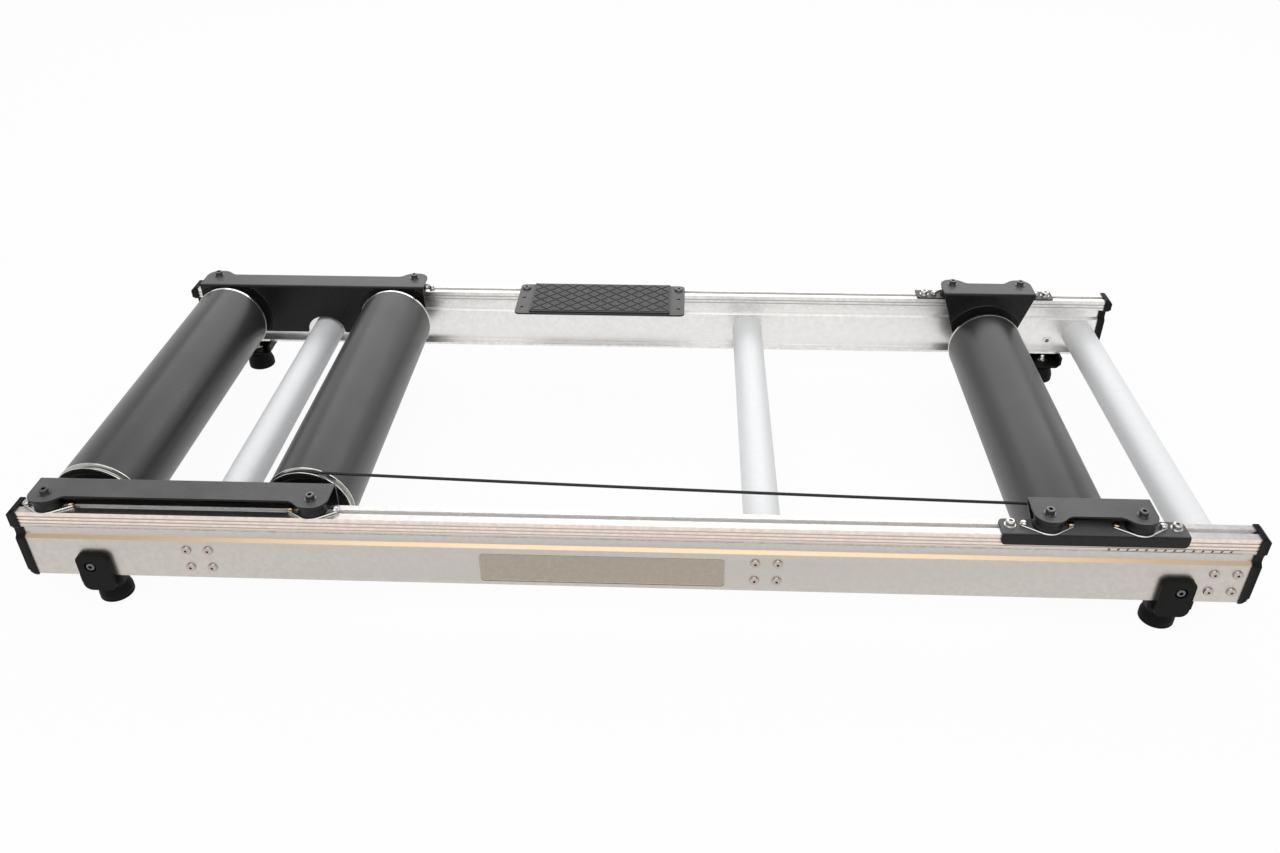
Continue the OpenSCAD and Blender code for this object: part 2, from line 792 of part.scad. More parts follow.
module rear_plate() {
  color([0.1, 0.1, 0.1]) {
    flange(rear_x, rear_flange_z, rear_span, rear_span / 2 + lobe_s + lobe_r);
    hang(rear_x, plate_in_y, plate_t) difference() {
      rear_outline();
      for (s = [-1, 1]) translate([s * rear_pitch / 2, rear_axle_z]) circle(axle_r + fit);
    }
    for (s = [-1, 1]) hang(rear_x, plate_in_y - ring_up, ring_up + plate_t / 2) intersection() {
      rear_outline();
      translate([s * rear_pitch / 2, rear_axle_z]) ring_shape();
    }
  }
}

module front_outline() {
  low = front_axle_z - front_below;
  polygon([
    [-front_top_w / 2, front_flange_z + plate_t],
    [-front_bottom_w / 2, low + plate_corner],
    [-front_bottom_w / 2 + plate_corner, low],
    [front_bottom_w / 2 - plate_corner, low],
    [front_bottom_w / 2, low + plate_corner],
    [front_top_w / 2, front_flange_z + plate_t]
  ]);
}

module front_plate() {
  color([0.1, 0.1, 0.1]) {
    flange(slider_x, front_flange_z, front_span, front_top_w / 2);
    hang(slider_x, plate_in_y, plate_t) difference() {
      front_outline();
      translate([0, front_axle_z]) circle(axle_r + fit);
    }
    hang(slider_x, plate_in_y - ring_up, ring_up + plate_t / 2) intersection() {
      front_outline();
      translate([0, front_axle_z]) ring_shape();
    }
  }
}

module rear_carriage_near() { rear_plate(); }
module rear_carriage_far() { mirror([0, 1, 0]) rear_plate(); }
module front_carriage_near() { front_plate(); }
module front_carriage_far() { mirror([0, 1, 0]) front_plate(); }

module carriage_screws(x, span, z) {
  shank = washer_t + plate_t + insert_d - screw_short;
  color([0.08, 0.08, 0.08]) both_sides() damper_places(x, span) translate([0, 0, z + plate_t]) {
    cylinder(r = washer_r, h = washer_t);
    translate([0, 0, washer_t]) screw(cap_head_r, cap_head_h, m_r, shank, key_r);
  }
}

module rear_carriage_screws() { carriage_screws(rear_x, rear_span, rear_flange_z); }
module front_carriage_screws() { carriage_screws(slider_x, front_span, front_flange_z); }

// Fixed axle from plate to plate, threaded through both
module axle(x, z) {
  end = plate_y + washer_t + axle_nut_t + axle_over;
  color([0.75, 0.75, 0.75]) translate([x, 0, z]) rotate([90, 0, 0]) {
    translate([0, 0, -end]) cylinder(r = axle_r, h = 2 * end);
    for (s = [0, 1]) mirror([0, 0, s]) translate([0, 0, hub_y + seat])
      cylinder(r = collar_d / 2, h = plate_in_y - hub_y - seat);
  }
}

module axle_nuts(x, z) {
  color([0.75, 0.75, 0.75]) both_sides() translate([x, -plate_y, z]) rotate([90, 0, 0]) {
    washer(axle_washer_r, axle_r + fit, washer_t);
    translate([0, 0, washer_t]) hex_nut(nut_w, axle_r + fit, axle_nut_t);
  }
}

module rear_drum_axle() { axle(rear_drum_x, rear_axle_z); }
module mid_drum_axle() { axle(mid_drum_x, rear_axle_z); }
module front_drum_axle() { axle(slider_x, front_axle_z); }
module rear_axle_nuts() {
  axle_nuts(rear_drum_x, rear_axle_z);
  axle_nuts(mid_drum_x, rear_axle_z);
}
module front_axle_nuts() { axle_nuts(slider_x, front_axle_z); }

// Drum drawn along z, its near end up
module at_drum(x, z) {
  translate([x, 0, z]) rotate([90, 0, 0]) children();
}

module drum_shell(x, z) {
  color([0.2, 0.2, 0.21]) at_drum(x, z) rotate_extrude() translate([drum_r - drum_wall, ring_w - drum_half])
    square([drum_wall, 2 * drum_half - ring_w - pulley_w]);
}

module drum_rings(x, z) {
  low = drum_half - pulley_w;
  floor_w = belt_d + 2 * loose;
  color([0.85, 0.84, 0.8]) at_drum(x, z) {
    rotate_extrude() polygon([
      [spigot_bore, low - spigot_l],
      [spigot_r, low - spigot_l],
      [spigot_r, low],
      [rim_r, low],
      [rim_r, low + rim_t],
      [groove_r, belt_y - floor_w / 2],
      [groove_r, belt_y + floor_w / 2],
      [rim_r, drum_half - rim_t],
      [rim_r, drum_half],
      [spigot_bore, drum_half]
    ]);
    mirror([0, 0, 1]) rotate_extrude() polygon([
      [spigot_bore, drum_half - ring_w - spigot_l],
      [spigot_r, drum_half - ring_w - spigot_l],
      [spigot_r, drum_half - ring_w],
      [rim_r, drum_half - ring_w],
      [rim_r, drum_half - ring_bevel],
      [rim_r - ring_bevel, drum_half],
      [spigot_bore, drum_half]
    ]);
  }
}

module drum_hubs(x, z) {
  color([0.07, 0.07, 0.07]) at_drum(x, z) for (s = [0, 1]) mirror([0, 0, s]) rotate_extrude() polygon([
    [hub_bore_r, hub_y - hub_t],
    [hub_r, hub_y - hub_t],
    [hub_r, hub_y],
    [bearing_d / 2 + fit, hub_y],
    [bearing_d / 2 + fit, hub_y - bearing_w],
    [hub_bore_r, hub_y - bearing_w]
  ]);
}

module drum_bearings(x, z) {
  color([0.6, 0.6, 0.6]) at_drum(x, z) for (s = [0, 1]) mirror([0, 0, s]) rotate_extrude()
    translate([axle_r + fit, hub_y - bearing_w]) square([bearing_d / 2 - axle_r - fit, bearing_w]);
}

module rear_drum_shell() { drum_shell(rear_drum_x, rear_axle_z); }
module rear_drum_rings() { drum_rings(rear_drum_x, rear_axle_z); }
module rear_drum_hubs() { drum_hubs(rear_drum_x, rear_axle_z); }
module rear_drum_bearings() { drum_bearings(rear_drum_x, rear_axle_z); }
module mid_drum_shell() { drum_shell(mid_drum_x, rear_axle_z); }
module mid_drum_rings() { drum_rings(mid_drum_x, rear_axle_z); }
module mid_drum_hubs() { drum_hubs(mid_drum_x, rear_axle_z); }
module mid_drum_bearings() { drum_bearings(mid_drum_x, rear_axle_z); }
module front_drum_shell() { drum_shell(slider_x, front_axle_z); }
module front_drum_rings() { drum_rings(slider_x, front_axle_z); }
module front_drum_hubs() { drum_hubs(slider_x, front_axle_z); }
module front_drum_bearings() { drum_bearings(slider_x, front_axle_z); }

// Round belt in the grooves of the middle and the front drum
module drive_belt() {
  color([0.05, 0.05, 0.05]) translate([mid_drum_x, -belt_y, rear_axle_z]) rotate([0, -belt_tilt, 0])
    rotate([90, 0, 0]) {
      rotate([0, 0, 90]) rotate_extrude(angle = 180) translate([belt_round, 0]) circle(belt_r, $fn = 32);
      translate([belt_run, 0, 0]) rotate([0, 0, -90]) rotate_extrude(angle = 180)
        translate([belt_round, 0]) circle(belt_r, $fn = 32);
      for (s = [-1, 1]) translate([0, s * belt_round, 0]) rotate([0, 90, 0])
        cylinder(r = belt_r, h = belt_run, $fn = 32);
    }
}

// Base plate lying on the rail's head with its lip over the outer side
module slider_base() {
  lip_y = out_y + loose;
  base_w = lip_y + base_t - head_y;
  color([0.12, 0.12, 0.12]) difference() {
    union() {
      translate([slider_x, -lip_y - base_t + base_w / 2, base_z]) linear_extrude(base_t) {
        rounded(base_l, base_w, plate_corner);
        translate([-base_l / 2, -base_w / 2]) square([base_l, base_w / 2]);
      }
      hang(slider_x, lip_y, base_t) translate([0, base_z + base_t - base_lip]) {
        translate([0, base_lip / 2]) rounded(base_l, base_lip, plate_corner - 1);
        translate([-base_l / 2, base_lip / 2]) square([base_l, base_lip / 2]);
      }
    }
    translate([0, 0, base_z - cut]) {
      damper_places(slider_x, bolt_span) cylinder(r = m_r + loose, h = base_t + 2 * cut);
      pin_places(slider_x, front_span) cylinder(r = pin_d / 2 + fit, h = base_t + 2 * cut);
    }
  }
}

module slider_base_near() { slider_base(); }
module slider_base_far() { mirror([0, 1, 0]) slider_base(); }

module slider_bolts() {
  shank = washer_t + base_t + slot_lip + nut_t;
  color([0.85, 0.85, 0.85]) both_sides() damper_places(slider_x, bolt_span)
    translate([0, 0, base_z + base_t]) {
      cylinder(r = bolt_washer_r, h = washer_t);
      translate([0, 0, washer_t]) screw(cap_head_r, cap_head_h, m_r, shank, key_r);
    }
}

module slider_nuts() {
  color([0.7, 0.7, 0.7]) both_sides() damper_places(slider_x, bolt_span)
    translate([0, 0, rail_z1]) t_nut(m_r + fit);
}

module front_dampers() { both_sides() damper_places(slider_x, front_span) damper(base_z + base_t); }
module front_damper_wires() { both_sides() damper_places(slider_x, front_span) damper_wire(base_z + base_t); }
module front_damper_pins() { both_sides() pin_places(slider_x, front_span) bail_pin(base_z + base_t); }

rail_near();
rail_far();
rail_caps_rear();
rail_caps_front();
crossbar_rear();
crossbar_middle();
crossbar_front();
crossbar_plugs();
crossbar_screws();
nameplate();
step_plate();
step_mat();
step_screws();
step_nuts();
foot_brackets();
foot_bracket_screws();
foot_rivet_nuts();
foot_lock_nuts();
rear_dampers();
rear_damper_wires();
rear_damper_pins();
drive_belt();
foot_puck_rn();
foot_puck_rf();
foot_puck_fn();
foot_puck_ff();
foot_stud_rn();
foot_stud_rf();
foot_stud_fn();
foot_stud_ff();
rear_carriage_near();
rear_carriage_far();
rear_carriage_screws();
rear_drum_axle();
mid_drum_axle();
rear_axle_nuts();
rear_drum_shell();
rear_drum_rings();
rear_drum_hubs();
rear_drum_bearings();
mid_drum_shell();
mid_drum_rings();
mid_drum_hubs();
mid_drum_bearings();
slider_base_near();
slider_base_far();
slider_bolts();
slider_nuts();
front_dampers();
front_damper_wires();
front_damper_pins();
front_carriage_near();
front_carriage_far();
front_carriage_screws();
front_drum_axle();
front_axle_nuts();
front_drum_shell();
front_drum_rings();
front_drum_hubs();
front_drum_bearings();
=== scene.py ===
import json
import math

import bmesh
import bpy
from mathutils import Matrix, Vector


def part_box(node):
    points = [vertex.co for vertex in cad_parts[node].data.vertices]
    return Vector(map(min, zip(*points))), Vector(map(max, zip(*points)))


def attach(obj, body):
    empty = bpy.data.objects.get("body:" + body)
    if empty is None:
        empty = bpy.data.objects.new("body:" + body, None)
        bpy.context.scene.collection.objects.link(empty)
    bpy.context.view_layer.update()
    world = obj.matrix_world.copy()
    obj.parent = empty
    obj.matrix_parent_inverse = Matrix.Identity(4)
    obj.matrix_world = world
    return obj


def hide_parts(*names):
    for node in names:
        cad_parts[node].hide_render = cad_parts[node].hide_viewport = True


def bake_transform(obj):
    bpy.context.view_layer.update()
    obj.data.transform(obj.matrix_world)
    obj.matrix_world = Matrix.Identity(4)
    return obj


bl_info = {
    "name": "Bicycle Roller Looks",
    "version": (1, 0, 0),
    "blender": (4, 5, 0),
    "location": "View3D > Sidebar > Rollers",
    "description": "Builds the visible pieces and finishes of a set of bicycle training rollers",
    "category": "Object",
}

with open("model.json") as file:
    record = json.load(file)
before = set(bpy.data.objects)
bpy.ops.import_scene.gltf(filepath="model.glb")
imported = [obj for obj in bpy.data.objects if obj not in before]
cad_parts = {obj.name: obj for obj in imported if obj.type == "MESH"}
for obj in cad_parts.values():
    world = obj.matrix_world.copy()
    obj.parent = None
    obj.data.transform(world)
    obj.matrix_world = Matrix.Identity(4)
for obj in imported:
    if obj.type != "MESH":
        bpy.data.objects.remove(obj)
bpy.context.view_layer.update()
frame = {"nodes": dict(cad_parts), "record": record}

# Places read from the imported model. Near is the -Y side; the far side is its mirror image.
RAIL_LO, RAIL_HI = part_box("rail_near")
OUT_Y = -RAIL_LO.y
RAIL_END = RAIL_HI.x
FLOOR_GAP = RAIL_LO.z
RAIL_TOP = RAIL_HI.z

NEAR = Matrix()
FAR = Matrix.Diagonal((1, -1, 1, 1))
BOTH = (NEAR, FAR)
OTHER_END = Matrix.Diagonal((-1, 1, 1, 1))
UPSIDE_DOWN = Matrix.Diagonal((1, 1, -1, 1))
QUARTER = math.radians(90)
STAND = Matrix.Rotation(QUARTER, 4, "X")
ALONG = Matrix(((0, 0, 1, 0), (1, 0, 0, 0), (0, 1, 0, 0), (0, 0, 0, 1)))

JOIN = 1e-6  # points closer than this are one point
FIT = 0.00005  # gap between parts that are pressed or screwed together
SCREW_R = 0.003
THREAD_HOLE = 0.00505
DAMPER_R = 0.0155
MAT_RIM = 0.0012
SCREW_ASIDE, SCREW_UP = 0.004, 0.017  # a foot bracket's screw, from the foot and the rail's foot


def middle(node):
    """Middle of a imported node's box."""
    low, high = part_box(node)
    return (low + high) / 2


def half_width(node):
    """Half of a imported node's extent along X, which is a round part's radius."""
    low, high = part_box(node)
    return (high.x - low.x) / 2


def at(x, y, z, turn=None):
    return Matrix.Translation((x, y, z)) @ (turn or Matrix())


def both(place):
    """A place on the near side and its mirror image on the far side."""
    return [side @ place for side in BOTH]


def raised(places, height):
    """The same places, moved along their own Z."""
    return [place @ Matrix.Translation((0, 0, height)) for place in places]


def length(name, description, default, low=0.0, high=2.0):
    return bpy.props.FloatProperty(
        name=name, description=description, default=default, min=low, max=high,
        unit="LENGTH", subtype="DISTANCE", precision=5)


def colour(name, description, default):
    return bpy.props.FloatVectorProperty(
        name=name, description=description, default=default, min=0.0, max=1.0,
        size=3, subtype="COLOR")


def share(name, description, default):
    return bpy.props.FloatProperty(
        name=name, description=description, default=default, min=0.0, max=1.0,
        subtype="FACTOR")


# ------------------------------------------------------------------ sizes and colours

class RailSizes(bpy.types.PropertyGroup):
    head_w: length("Head width", "Width of the rail's head", 0.025)
    head_out: length("Outer head height", "Height of the head's outer side", 0.021)
    head_in: length("Inner head height", "Height of the head's inner side", 0.015)
    box_w: length("Box width", "Width of the hollow lower part", 0.0135)
    box_h: length("Box height", "Height of the lower part with its chamfer", 0.057)
    recess: length("Recess", "Depth of the step between head and box", 0.004)
    neck: length("Neck", "Thickness of the wall between head and box", 0.0055)
    lip: length("Bottom lip", "Thickness of the inward lip", 0.0035)
    groove_d: length("Groove depth", "Depth of the fine grooves", 0.0008)
    groove_w: length("Groove width", "Width of the fine grooves", 0.0016)
    groove_pitch: length("Groove pitch", "Distance between the fine grooves", 0.0047)
    groove_first: length("First groove", "Distance of the first groove below the top", 0.0062)
    slot_at: length("Slot place", "Distance of the slot from the outer face", 0.0135)
    slot_w: length("Slot mouth", "Width of the slot's mouth", 0.0064)
    slot_lip: length("Slot lip", "Thickness of the slot's lips", 0.0025)
    channel_w: length("Channel width", "Width of the slot's channel", 0.012)
    channel_h: length("Channel height", "Height of the slot's channel", 0.005)
    edge: length("Edge", "Rounding of the rail's long edges", 0.0004)
    cap_proud: length("Cap overlap", "How far the end cap stands out all round", 0.002)
    cap_step: length("Cap step", "Height of the cap's outer step", 0.003)
    cap_edge: length("Cap edge", "Rounding of the cap's edges", 0.0014)
    cap_foot: length("Cap foot", "Chamfer of the cap's lower end", 0.009)
    cap_crown: length("Cap crown", "Chamfer of the cap's upper end", 0.0055)
    tick_pitch: length("Tick pitch", "Distance between the marks of the scale", 0.01)
    tick_w: length("Tick width", "Width of each mark", 0.0024)
    tick_h: length("Tick height", "Height of each mark", 0.0024)
    tick_lean: length("Tick lean", "How far the top of each mark leans over", 0.0012)
    print_t: length("Print thickness", "Thickness of the printed marks", 0.00008)


class CarriageSizes(bpy.types.PropertyGroup):
    plate: length("Plate", "Thickness of the folded carriage plates", 0.0025)
    bend: length("Bend", "Outside radius of the fold", 0.0036)
    base: length("Base plate", "Thickness of the slider's base plates", 0.002)
    base_bend: length("Base bend", "Outside radius of the base plate's fold", 0.003)
    edge: length("Edge", "Rounding of the plates' edges", 0.00045)
    lobe: length("Lobe", "Radius of the lobes over the dampers", 0.016)
    lobe_half: length("Lobe straight", "Half of the lobe's straight part", 0.003)
    lobe_slope: bpy.props.FloatProperty(
        name="Lobe slope", description="Slope of the lobe's blend into the straight edge",
        default=math.radians(43), min=math.radians(20), max=math.radians(60),
        unit="ROTATION", subtype="ANGLE")
    over: length("Overhang", "Width of the flange beyond the slot", 0.0043)
    ring_up: length("Ring height", "Height of the raised ring round a drum's end", 0.001)
    ring_out: length("Ring gap", "Gap between the drum's radius and the ring", 0.003)
    ring_band: length("Ring width", "Width of the raised ring", 0.004)
    arch: length("Arch", "Radius of the arch over the rear crossbar", 0.028)
    wire: length("Wire", "Thickness of the wire bails", 0.002)
    pin_span: length("Pin span", "Distance between the two pins of a bail", 0.05)


class DrumSizes(bpy.types.PropertyGroup):
    wall: length("Wall", "Wall of the drum's shell", 0.0025)
    groove_w: length("Pulley width", "Width of the belt pulley", 0.011)
    rim: length("Rim", "Thickness of the pulley's rims", 0.0013)
    ring_w: length("Ring width", "Width of the plain ring on the far end", 0.005)
    face_w: length("Rim face", "Width of the bright face at a drum's end", 0.0018)
    face_d: length("Rim step", "Depth of the step beside the bright face", 0.0012)
    hub_in: length("Hub depth", "Depth of the hub's face inside the end", 0.003)
    hub_t: length("Hub thickness", "Thickness of the hub", 0.012)
    belt: length("Belt", "Thickness of the round drive belt", 0.0036)
    belt_in: length("Belt depth", "Depth of the belt below the rims", 0.0024)
    sag: length("Belt sag", "Sag of the belt's upper run", 0.002)


class StepSizes(bpy.types.PropertyGroup):
    corner: length("Corner", "Radius of the step's corners", 0.007)
    edge: length("Edge", "Rounding of the step's edges", 0.0007)
    hole: length("Hole", "Diameter of the small holes beside the mat", 0.0052)
    diamond_x: length("Diamond length", "Length of one diamond of the mat", 0.0222)
    diamond_y: length("Diamond depth", "Depth of one diamond of the mat", 0.0196)
    groove: length("Groove", "Width of the grooves between the diamonds", 0.0016)
    pad_up: length("Pad height", "Height of the diamonds above the grooves", 0.0009)


class FootSizes(bpy.types.PropertyGroup):
    tab_w: length("Tab width", "Width of the bracket's tab", 0.038)
    tab_t: length("Tab thickness", "Thickness of the bracket's tab", 0.007)
    tab_corner: length("Tab corner", "Radius of the tab's corners", 0.009)
    shelf_cut: length("Shelf chamfer", "Chamfer on the shelf's lower corners", 0.006)
    shelf_in: length("Shelf reach", "Reach of the shelf inwards", 0.038)
    shelf_t: length("Shelf thickness", "Thickness of the shelf", 0.004)
    recess_r: length("Recess radius", "Radius of the screw's recess", 0.007)
    recess_d: length("Recess depth", "Depth of the screw's recess", 0.005)
    puck_top_r: length("Foot top radius", "Radius of the rubber foot's top", 0.016)
    edge: length("Edge", "Rounding of the bracket's edges", 0.0008)


class Finishes(bpy.types.PropertyGroup):
    rail: colour("Rails", "Satin anodised aluminium of the rails", (0.56, 0.52, 0.485))
    # painted reflection: warm tone on the rail's chamfer, standing in for the warm surroundings it
    # reflects
    chamfer_reflection: colour("Rail chamfer", "Warm tone of the rail's chamfer", (0.76, 0.55, 0.34))
    # painted highlight: brighter, warmer tone of the ribbed part of the rail's head
    rib_highlight: colour("Rail ribs", "Tone of the ribs on the rail's head", (1.0, 0.83, 0.73))
    # painted reflection: bright tone of the rails' inner faces, which show the white floor; also
    # used for the painted highlight on the top and, darkened, for painted shade
    rail_reflection_tone: colour("Rail inside", "Tone of the rail's inner faces", (0.93, 0.92, 0.91))
    tube: colour("Tubes", "Satin aluminium of the crossbars", (0.93, 0.94, 0.95))
    zinc: colour("Zinc", "Bright plated screws, wires and pins", (0.72, 0.7, 0.67))
    plated: colour("Plated screws", "Dull plating of the crossbars' screws", (0.5, 0.44, 0.39))
    brass: colour("Brass", "Warm tone of the inner bail pins", (0.66, 0.5, 0.33))
    steel: colour("Steel", "Axles and bearings", (0.56, 0.56, 0.56))
    ring: colour("Rings", "Bright turned rings on the drums", (0.84, 0.83, 0.79))
    drum: colour("Drums", "Charcoal anodised drums", (0.032, 0.032, 0.034))
    coating: colour("Black coating", "Carriage plates and base plates", (0.007, 0.0066, 0.0064))
    step: colour("Step coating", "Step's plate", (0.012, 0.012, 0.0122))
    blackened: colour("Blackened steel", "Black socket screws", (0.15, 0.15, 0.155))
    rubber: colour("Rubber", "Dampers and feet", (0.008, 0.008, 0.008))
    mat: colour("Mat", "Step's rubber mat", (0.016, 0.0163, 0.017))
    plastic: colour("Black plastic", "End caps, brackets and hubs", (0.008, 0.0078, 0.0075))
    plate_blank: colour("Nameplate", "Blank nameplate", (0.42, 0.37, 0.31))
    marks: colour("Marks", "Printed marks of the scale", (0.05, 0.05, 0.05))
    wear: share("Wear", "Strength of the fine marks and smudges", 0.5)


class StageSettings(bpy.types.PropertyGroup):
    camera_place: bpy.props.FloatVectorProperty(
        name="Camera place", description="Where the camera stands",
        default=(0.0601, -1.2176, 0.8974), size=3, subtype="TRANSLATION", unit="LENGTH")
    camera_turn: bpy.props.FloatVectorProperty(
        name="Camera turn", description="How the camera is turned",
        default=tuple(math.radians(a) for a in (55.9015, 0.3228, 2.4163)), size=3,
        subtype="EULER", unit="ROTATION")
    lens: bpy.props.FloatProperty(
        name="Lens", description="Focal length on a 36 mm sensor, in millimetres",
        default=30.943, min=10.0, max=200.0)
    backdrop: colour("Backdrop", "Colour of the floor and backdrop", (1.0, 1.0, 1.0))
    ambient: bpy.props.FloatProperty(
        name="Ambient", description="Strength of the even light", default=0.58, min=0.0, max=2.0)
    above: bpy.props.FloatProperty(
        name="Lamp above", description="Power of the large soft lamp above, in watts",
        default=24.0, min=0.0, max=500.0, unit="POWER")
    behind: bpy.props.FloatProperty(
        name="Lamp behind", description="Power of the wide soft lamp behind, in watts",
        default=22.0, min=0.0, max=500.0, unit="POWER")
    ceiling: colour("Ceiling", "Tone of the ceiling that glossy surfaces show", (0.5, 0.5, 0.51))
    shadow: share("Shadow", "How much of the floor's own shading the camera sees", 0.05)
    shine: share("Shine", "How much of the floor's own shading glossy surfaces show", 0.15)


def sizes(group):
    return getattr(bpy.context.scene, group)


def slot_line():
    """Distance of the rails' slots from the rollers' middle."""
    return OUT_Y - sizes("roller_rails").slot_at


# ------------------------------------------------------------------ shaping

def verts_in(geom):
    return [g for g in geom if isinstance(g, bmesh.types.BMVert)]


def edges_in(geom):
    return [g for g in geom if isinstance(g, bmesh.types.BMEdge)]


def edges_round(verts):
    """Edges that meet these points."""
    return list({e for v in verts for e in v.link_edges})


def everything(bm):
    return bm.verts[:] + bm.edges[:] + bm.faces[:]


def faces_at(bm, axis, value):
    """Faces that lie flat at this distance along an axis."""
    return [f for f in bm.faces
            if all(abs(getattr(v.co, axis) - value) < JOIN for v in f.verts)]


def bevel(bm, geom, reach, segments, affect="EDGES"):
    bmesh.ops.bevel(
        bm, geom=geom, offset=reach, offset_type="OFFSET", segments=segments, profile=0.5,
        affect=affect, clamp_overlap=affect == "EDGES", material=-1)


def fill(bm, edges):
    bmesh.ops.triangle_fill(bm, use_beauty=True, use_dissolve=False, edges=edges)


def outline(corners, segments=5):
    """Flat face in the XY plane. A corner's third number is how far its rounding reaches."""
    bm = bmesh.new()
    verts = [bm.verts.new((c[0], c[1], 0)) for c in corners]
    bm.faces.new(verts)
    reach = [c[2] if len(c) > 2 else 0 for c in corners]
    for r in sorted(set(reach) - {0}):
        bevel(bm, [v for v, own in zip(verts, reach) if own == r], r, segments, "VERTICES")
    bm.normal_update()
    return bm


def pierced(corners, holes, segments=5):
    """Flat face like outline's, with round holes given as x, y and radius."""
    bm = outline(corners, segments)
    bmesh.ops.delete(bm, geom=bm.faces[:], context="FACES_ONLY")
    for x, y, r in holes:
        bmesh.ops.create_circle(bm, segments=28, radius=r, matrix=at(x, y, 0))
    fill(bm, bm.edges[:])
    return bm


def thicken(bm, depth):
    """Extrudes every face of a flat shape along Z."""
    made = bmesh.ops.extrude_face_region(bm, geom=bm.faces[:])["geom"]
    bmesh.ops.translate(bm, vec=(0, 0, depth), verts=verts_in(made))
    bmesh.ops.recalc_face_normals(bm, faces=bm.faces[:])
    return bm


def slab(corners, depth, segments=5):
    return thicken(outline(corners, segments), depth)


def oblong(half_x, half_y, reach=0.0, x=0.0, y=0.0):
    """Corners of a rectangle with rounded corners."""
    return [(x + sx * half_x, y + sy * half_y, reach)
            for sx, sy in ((-1, -1), (1, -1), (1, 1), (-1, 1))]


def turned(corners, steps=48, segments=3):
    """Solid of revolution about Z from corners given as radius and height."""
    bm = outline(corners, segments)
    bmesh.ops.rotate(bm, matrix=Matrix.Rotation(QUARTER, 3, "X"), verts=bm.verts[:])
    bmesh.ops.delete(bm, geom=bm.faces[:], context="FACES_ONLY")
    on_axis = [e for e in bm.edges if all(abs(v.co.x) < JOIN for v in e.verts)]
    bmesh.ops.delete(bm, geom=on_axis, context="EDGES")
    bmesh.ops.spin(
        bm, geom=bm.verts[:] + bm.edges[:], cent=(0, 0, 0), axis=(0, 0, 1),
        angle=math.tau, steps=steps, use_merge=True)
    bmesh.ops.remove_doubles(bm, verts=bm.verts[:], dist=JOIN)
    return bm


def sink(bm, height, x, y, radius, depth, sides):
    """Sinks a blind hole at (x, y) into the largest flat face that lies at this height."""
    rim = max(faces_at(bm, "z", height), key=lambda f: f.calc_area())
    edges = rim.edges[:]
    bmesh.ops.delete(bm, geom=[rim], context="FACES_ONLY")
    hole = bmesh.ops.create_circle(
        bm, segments=sides, radius=radius, matrix=at(x, y, height))["verts"]
    loop = edges_round(hole)
    fill(bm, edges + loop)
    wall = bmesh.ops.extrude_edge_only(bm, edges=loop)["geom"]
    bmesh.ops.translate(bm, vec=(0, 0, -depth), verts=verts_in(wall))
    bmesh.ops.contextual_create(bm, geom=edges_in(wall))
    return bm


def add(bm, part, *places):
    """Puts a copy of part into bm at each place."""
    data = bpy.data.meshes.new("part")
    part.to_mesh(data)
    part.free()
    for place in places or (NEAR,):
        copy = data.copy()
        copy.transform(place)
        bm.from_mesh(copy)
        bpy.data.meshes.remove(copy)
    bpy.data.meshes.remove(data)
    return bm


def cut(bm, point, normal):
    """Cuts off what lies beyond the plane and closes the cut."""
    made = bmesh.ops.bisect_plane(
        bm, geom=everything(bm), plane_co=point, plane_no=normal, clear_outer=True,
        dist=JOIN / 10)["geom_cut"]
    bmesh.ops.holes_fill(bm, edges=edges_in(made))
    return bm


def soften(bm, reach, steps=2, angle=35.0):
    """Rounds every edge sharper than the angle."""
    bmesh.ops.remove_doubles(bm, verts=bm.verts[:], dist=JOIN)
    bmesh.ops.recalc_face_normals(bm, faces=bm.faces[:])
    sharp = [e for e in bm.edges
             if e.is_manifold and e.calc_face_angle(0.0) > math.radians(angle)]
    bevel(bm, sharp, reach, steps)
    bmesh.ops.dissolve_degenerate(bm, dist=JOIN / 10, edges=bm.edges[:])
    return bm


def folded(flat, drop, plate, bend, edge):
    """Folded plate: x along the fold, y away from it, top face at z = 0, leg going down.

    flat and drop are corner lists whose first and last corners lie on the fold.
    """
    bm = slab(flat, -plate, 8)
    fold = faces_at(bm, "y", bend)
    turn = bmesh.ops.spin(
        bm, geom=fold + fold[0].edges[:] + fold[0].verts[:], cent=(0, bend, -bend),
        axis=(1, 0, 0), angle=QUARTER, steps=6)["geom_last"]
    bmesh.ops.delete(
        bm, geom=[g for g in turn if isinstance(g, bmesh.types.BMFace)], context="FACES_ONLY")
    leg = slab(drop, plate, 8)
    leg.transform(at(0, plate, 0, STAND))
    bmesh.ops.delete(leg, geom=faces_at(leg, "z", -bend), context="FACES_ONLY")
    add(bm, leg)
    return soften(bm, edge)


def screw_head(radius, height, dome, key, depth=0.0022, steps=24):
    """Round head standing on z = 0, with a hexagon socket."""
    bm = turned([(0, 0), (radius, 0), (radius, height, dome), (0, height)], steps, 5)
    pole = [v for v in bm.verts if v.co.length < 0.0001 + height and abs(v.co.x) < JOIN
            and abs(v.co.y) < JOIN and v.co.z > height / 2]
    bmesh.ops.dissolve_verts(bm, verts=pole)
    return sink(bm, height, 0, 0, key, depth, 6)


def washer(radius, hole, thick, edge=0.0003, steps=32):
    return turned([(hole, 0), (radius, 0, edge), (radius, thick, edge), (hole, thick)], steps)


def washered_screw(bm, places, washer_r, ring_r, dome):
    """Socket screw on a flat washer and a smaller spring ring."""
    flat_t, ring_t = 0.001, 0.0006
    add(bm, washer(washer_r, SCREW_R, flat_t), *places)
    add(bm, washer(ring_r, SCREW_R, ring_t, 0.0002), *raised(places, flat_t))
    head = screw_head(0.005, 0.005, dome, 0.0025, 0.003, 32)
    add(bm, head, *raised(places, flat_t + ring_t))


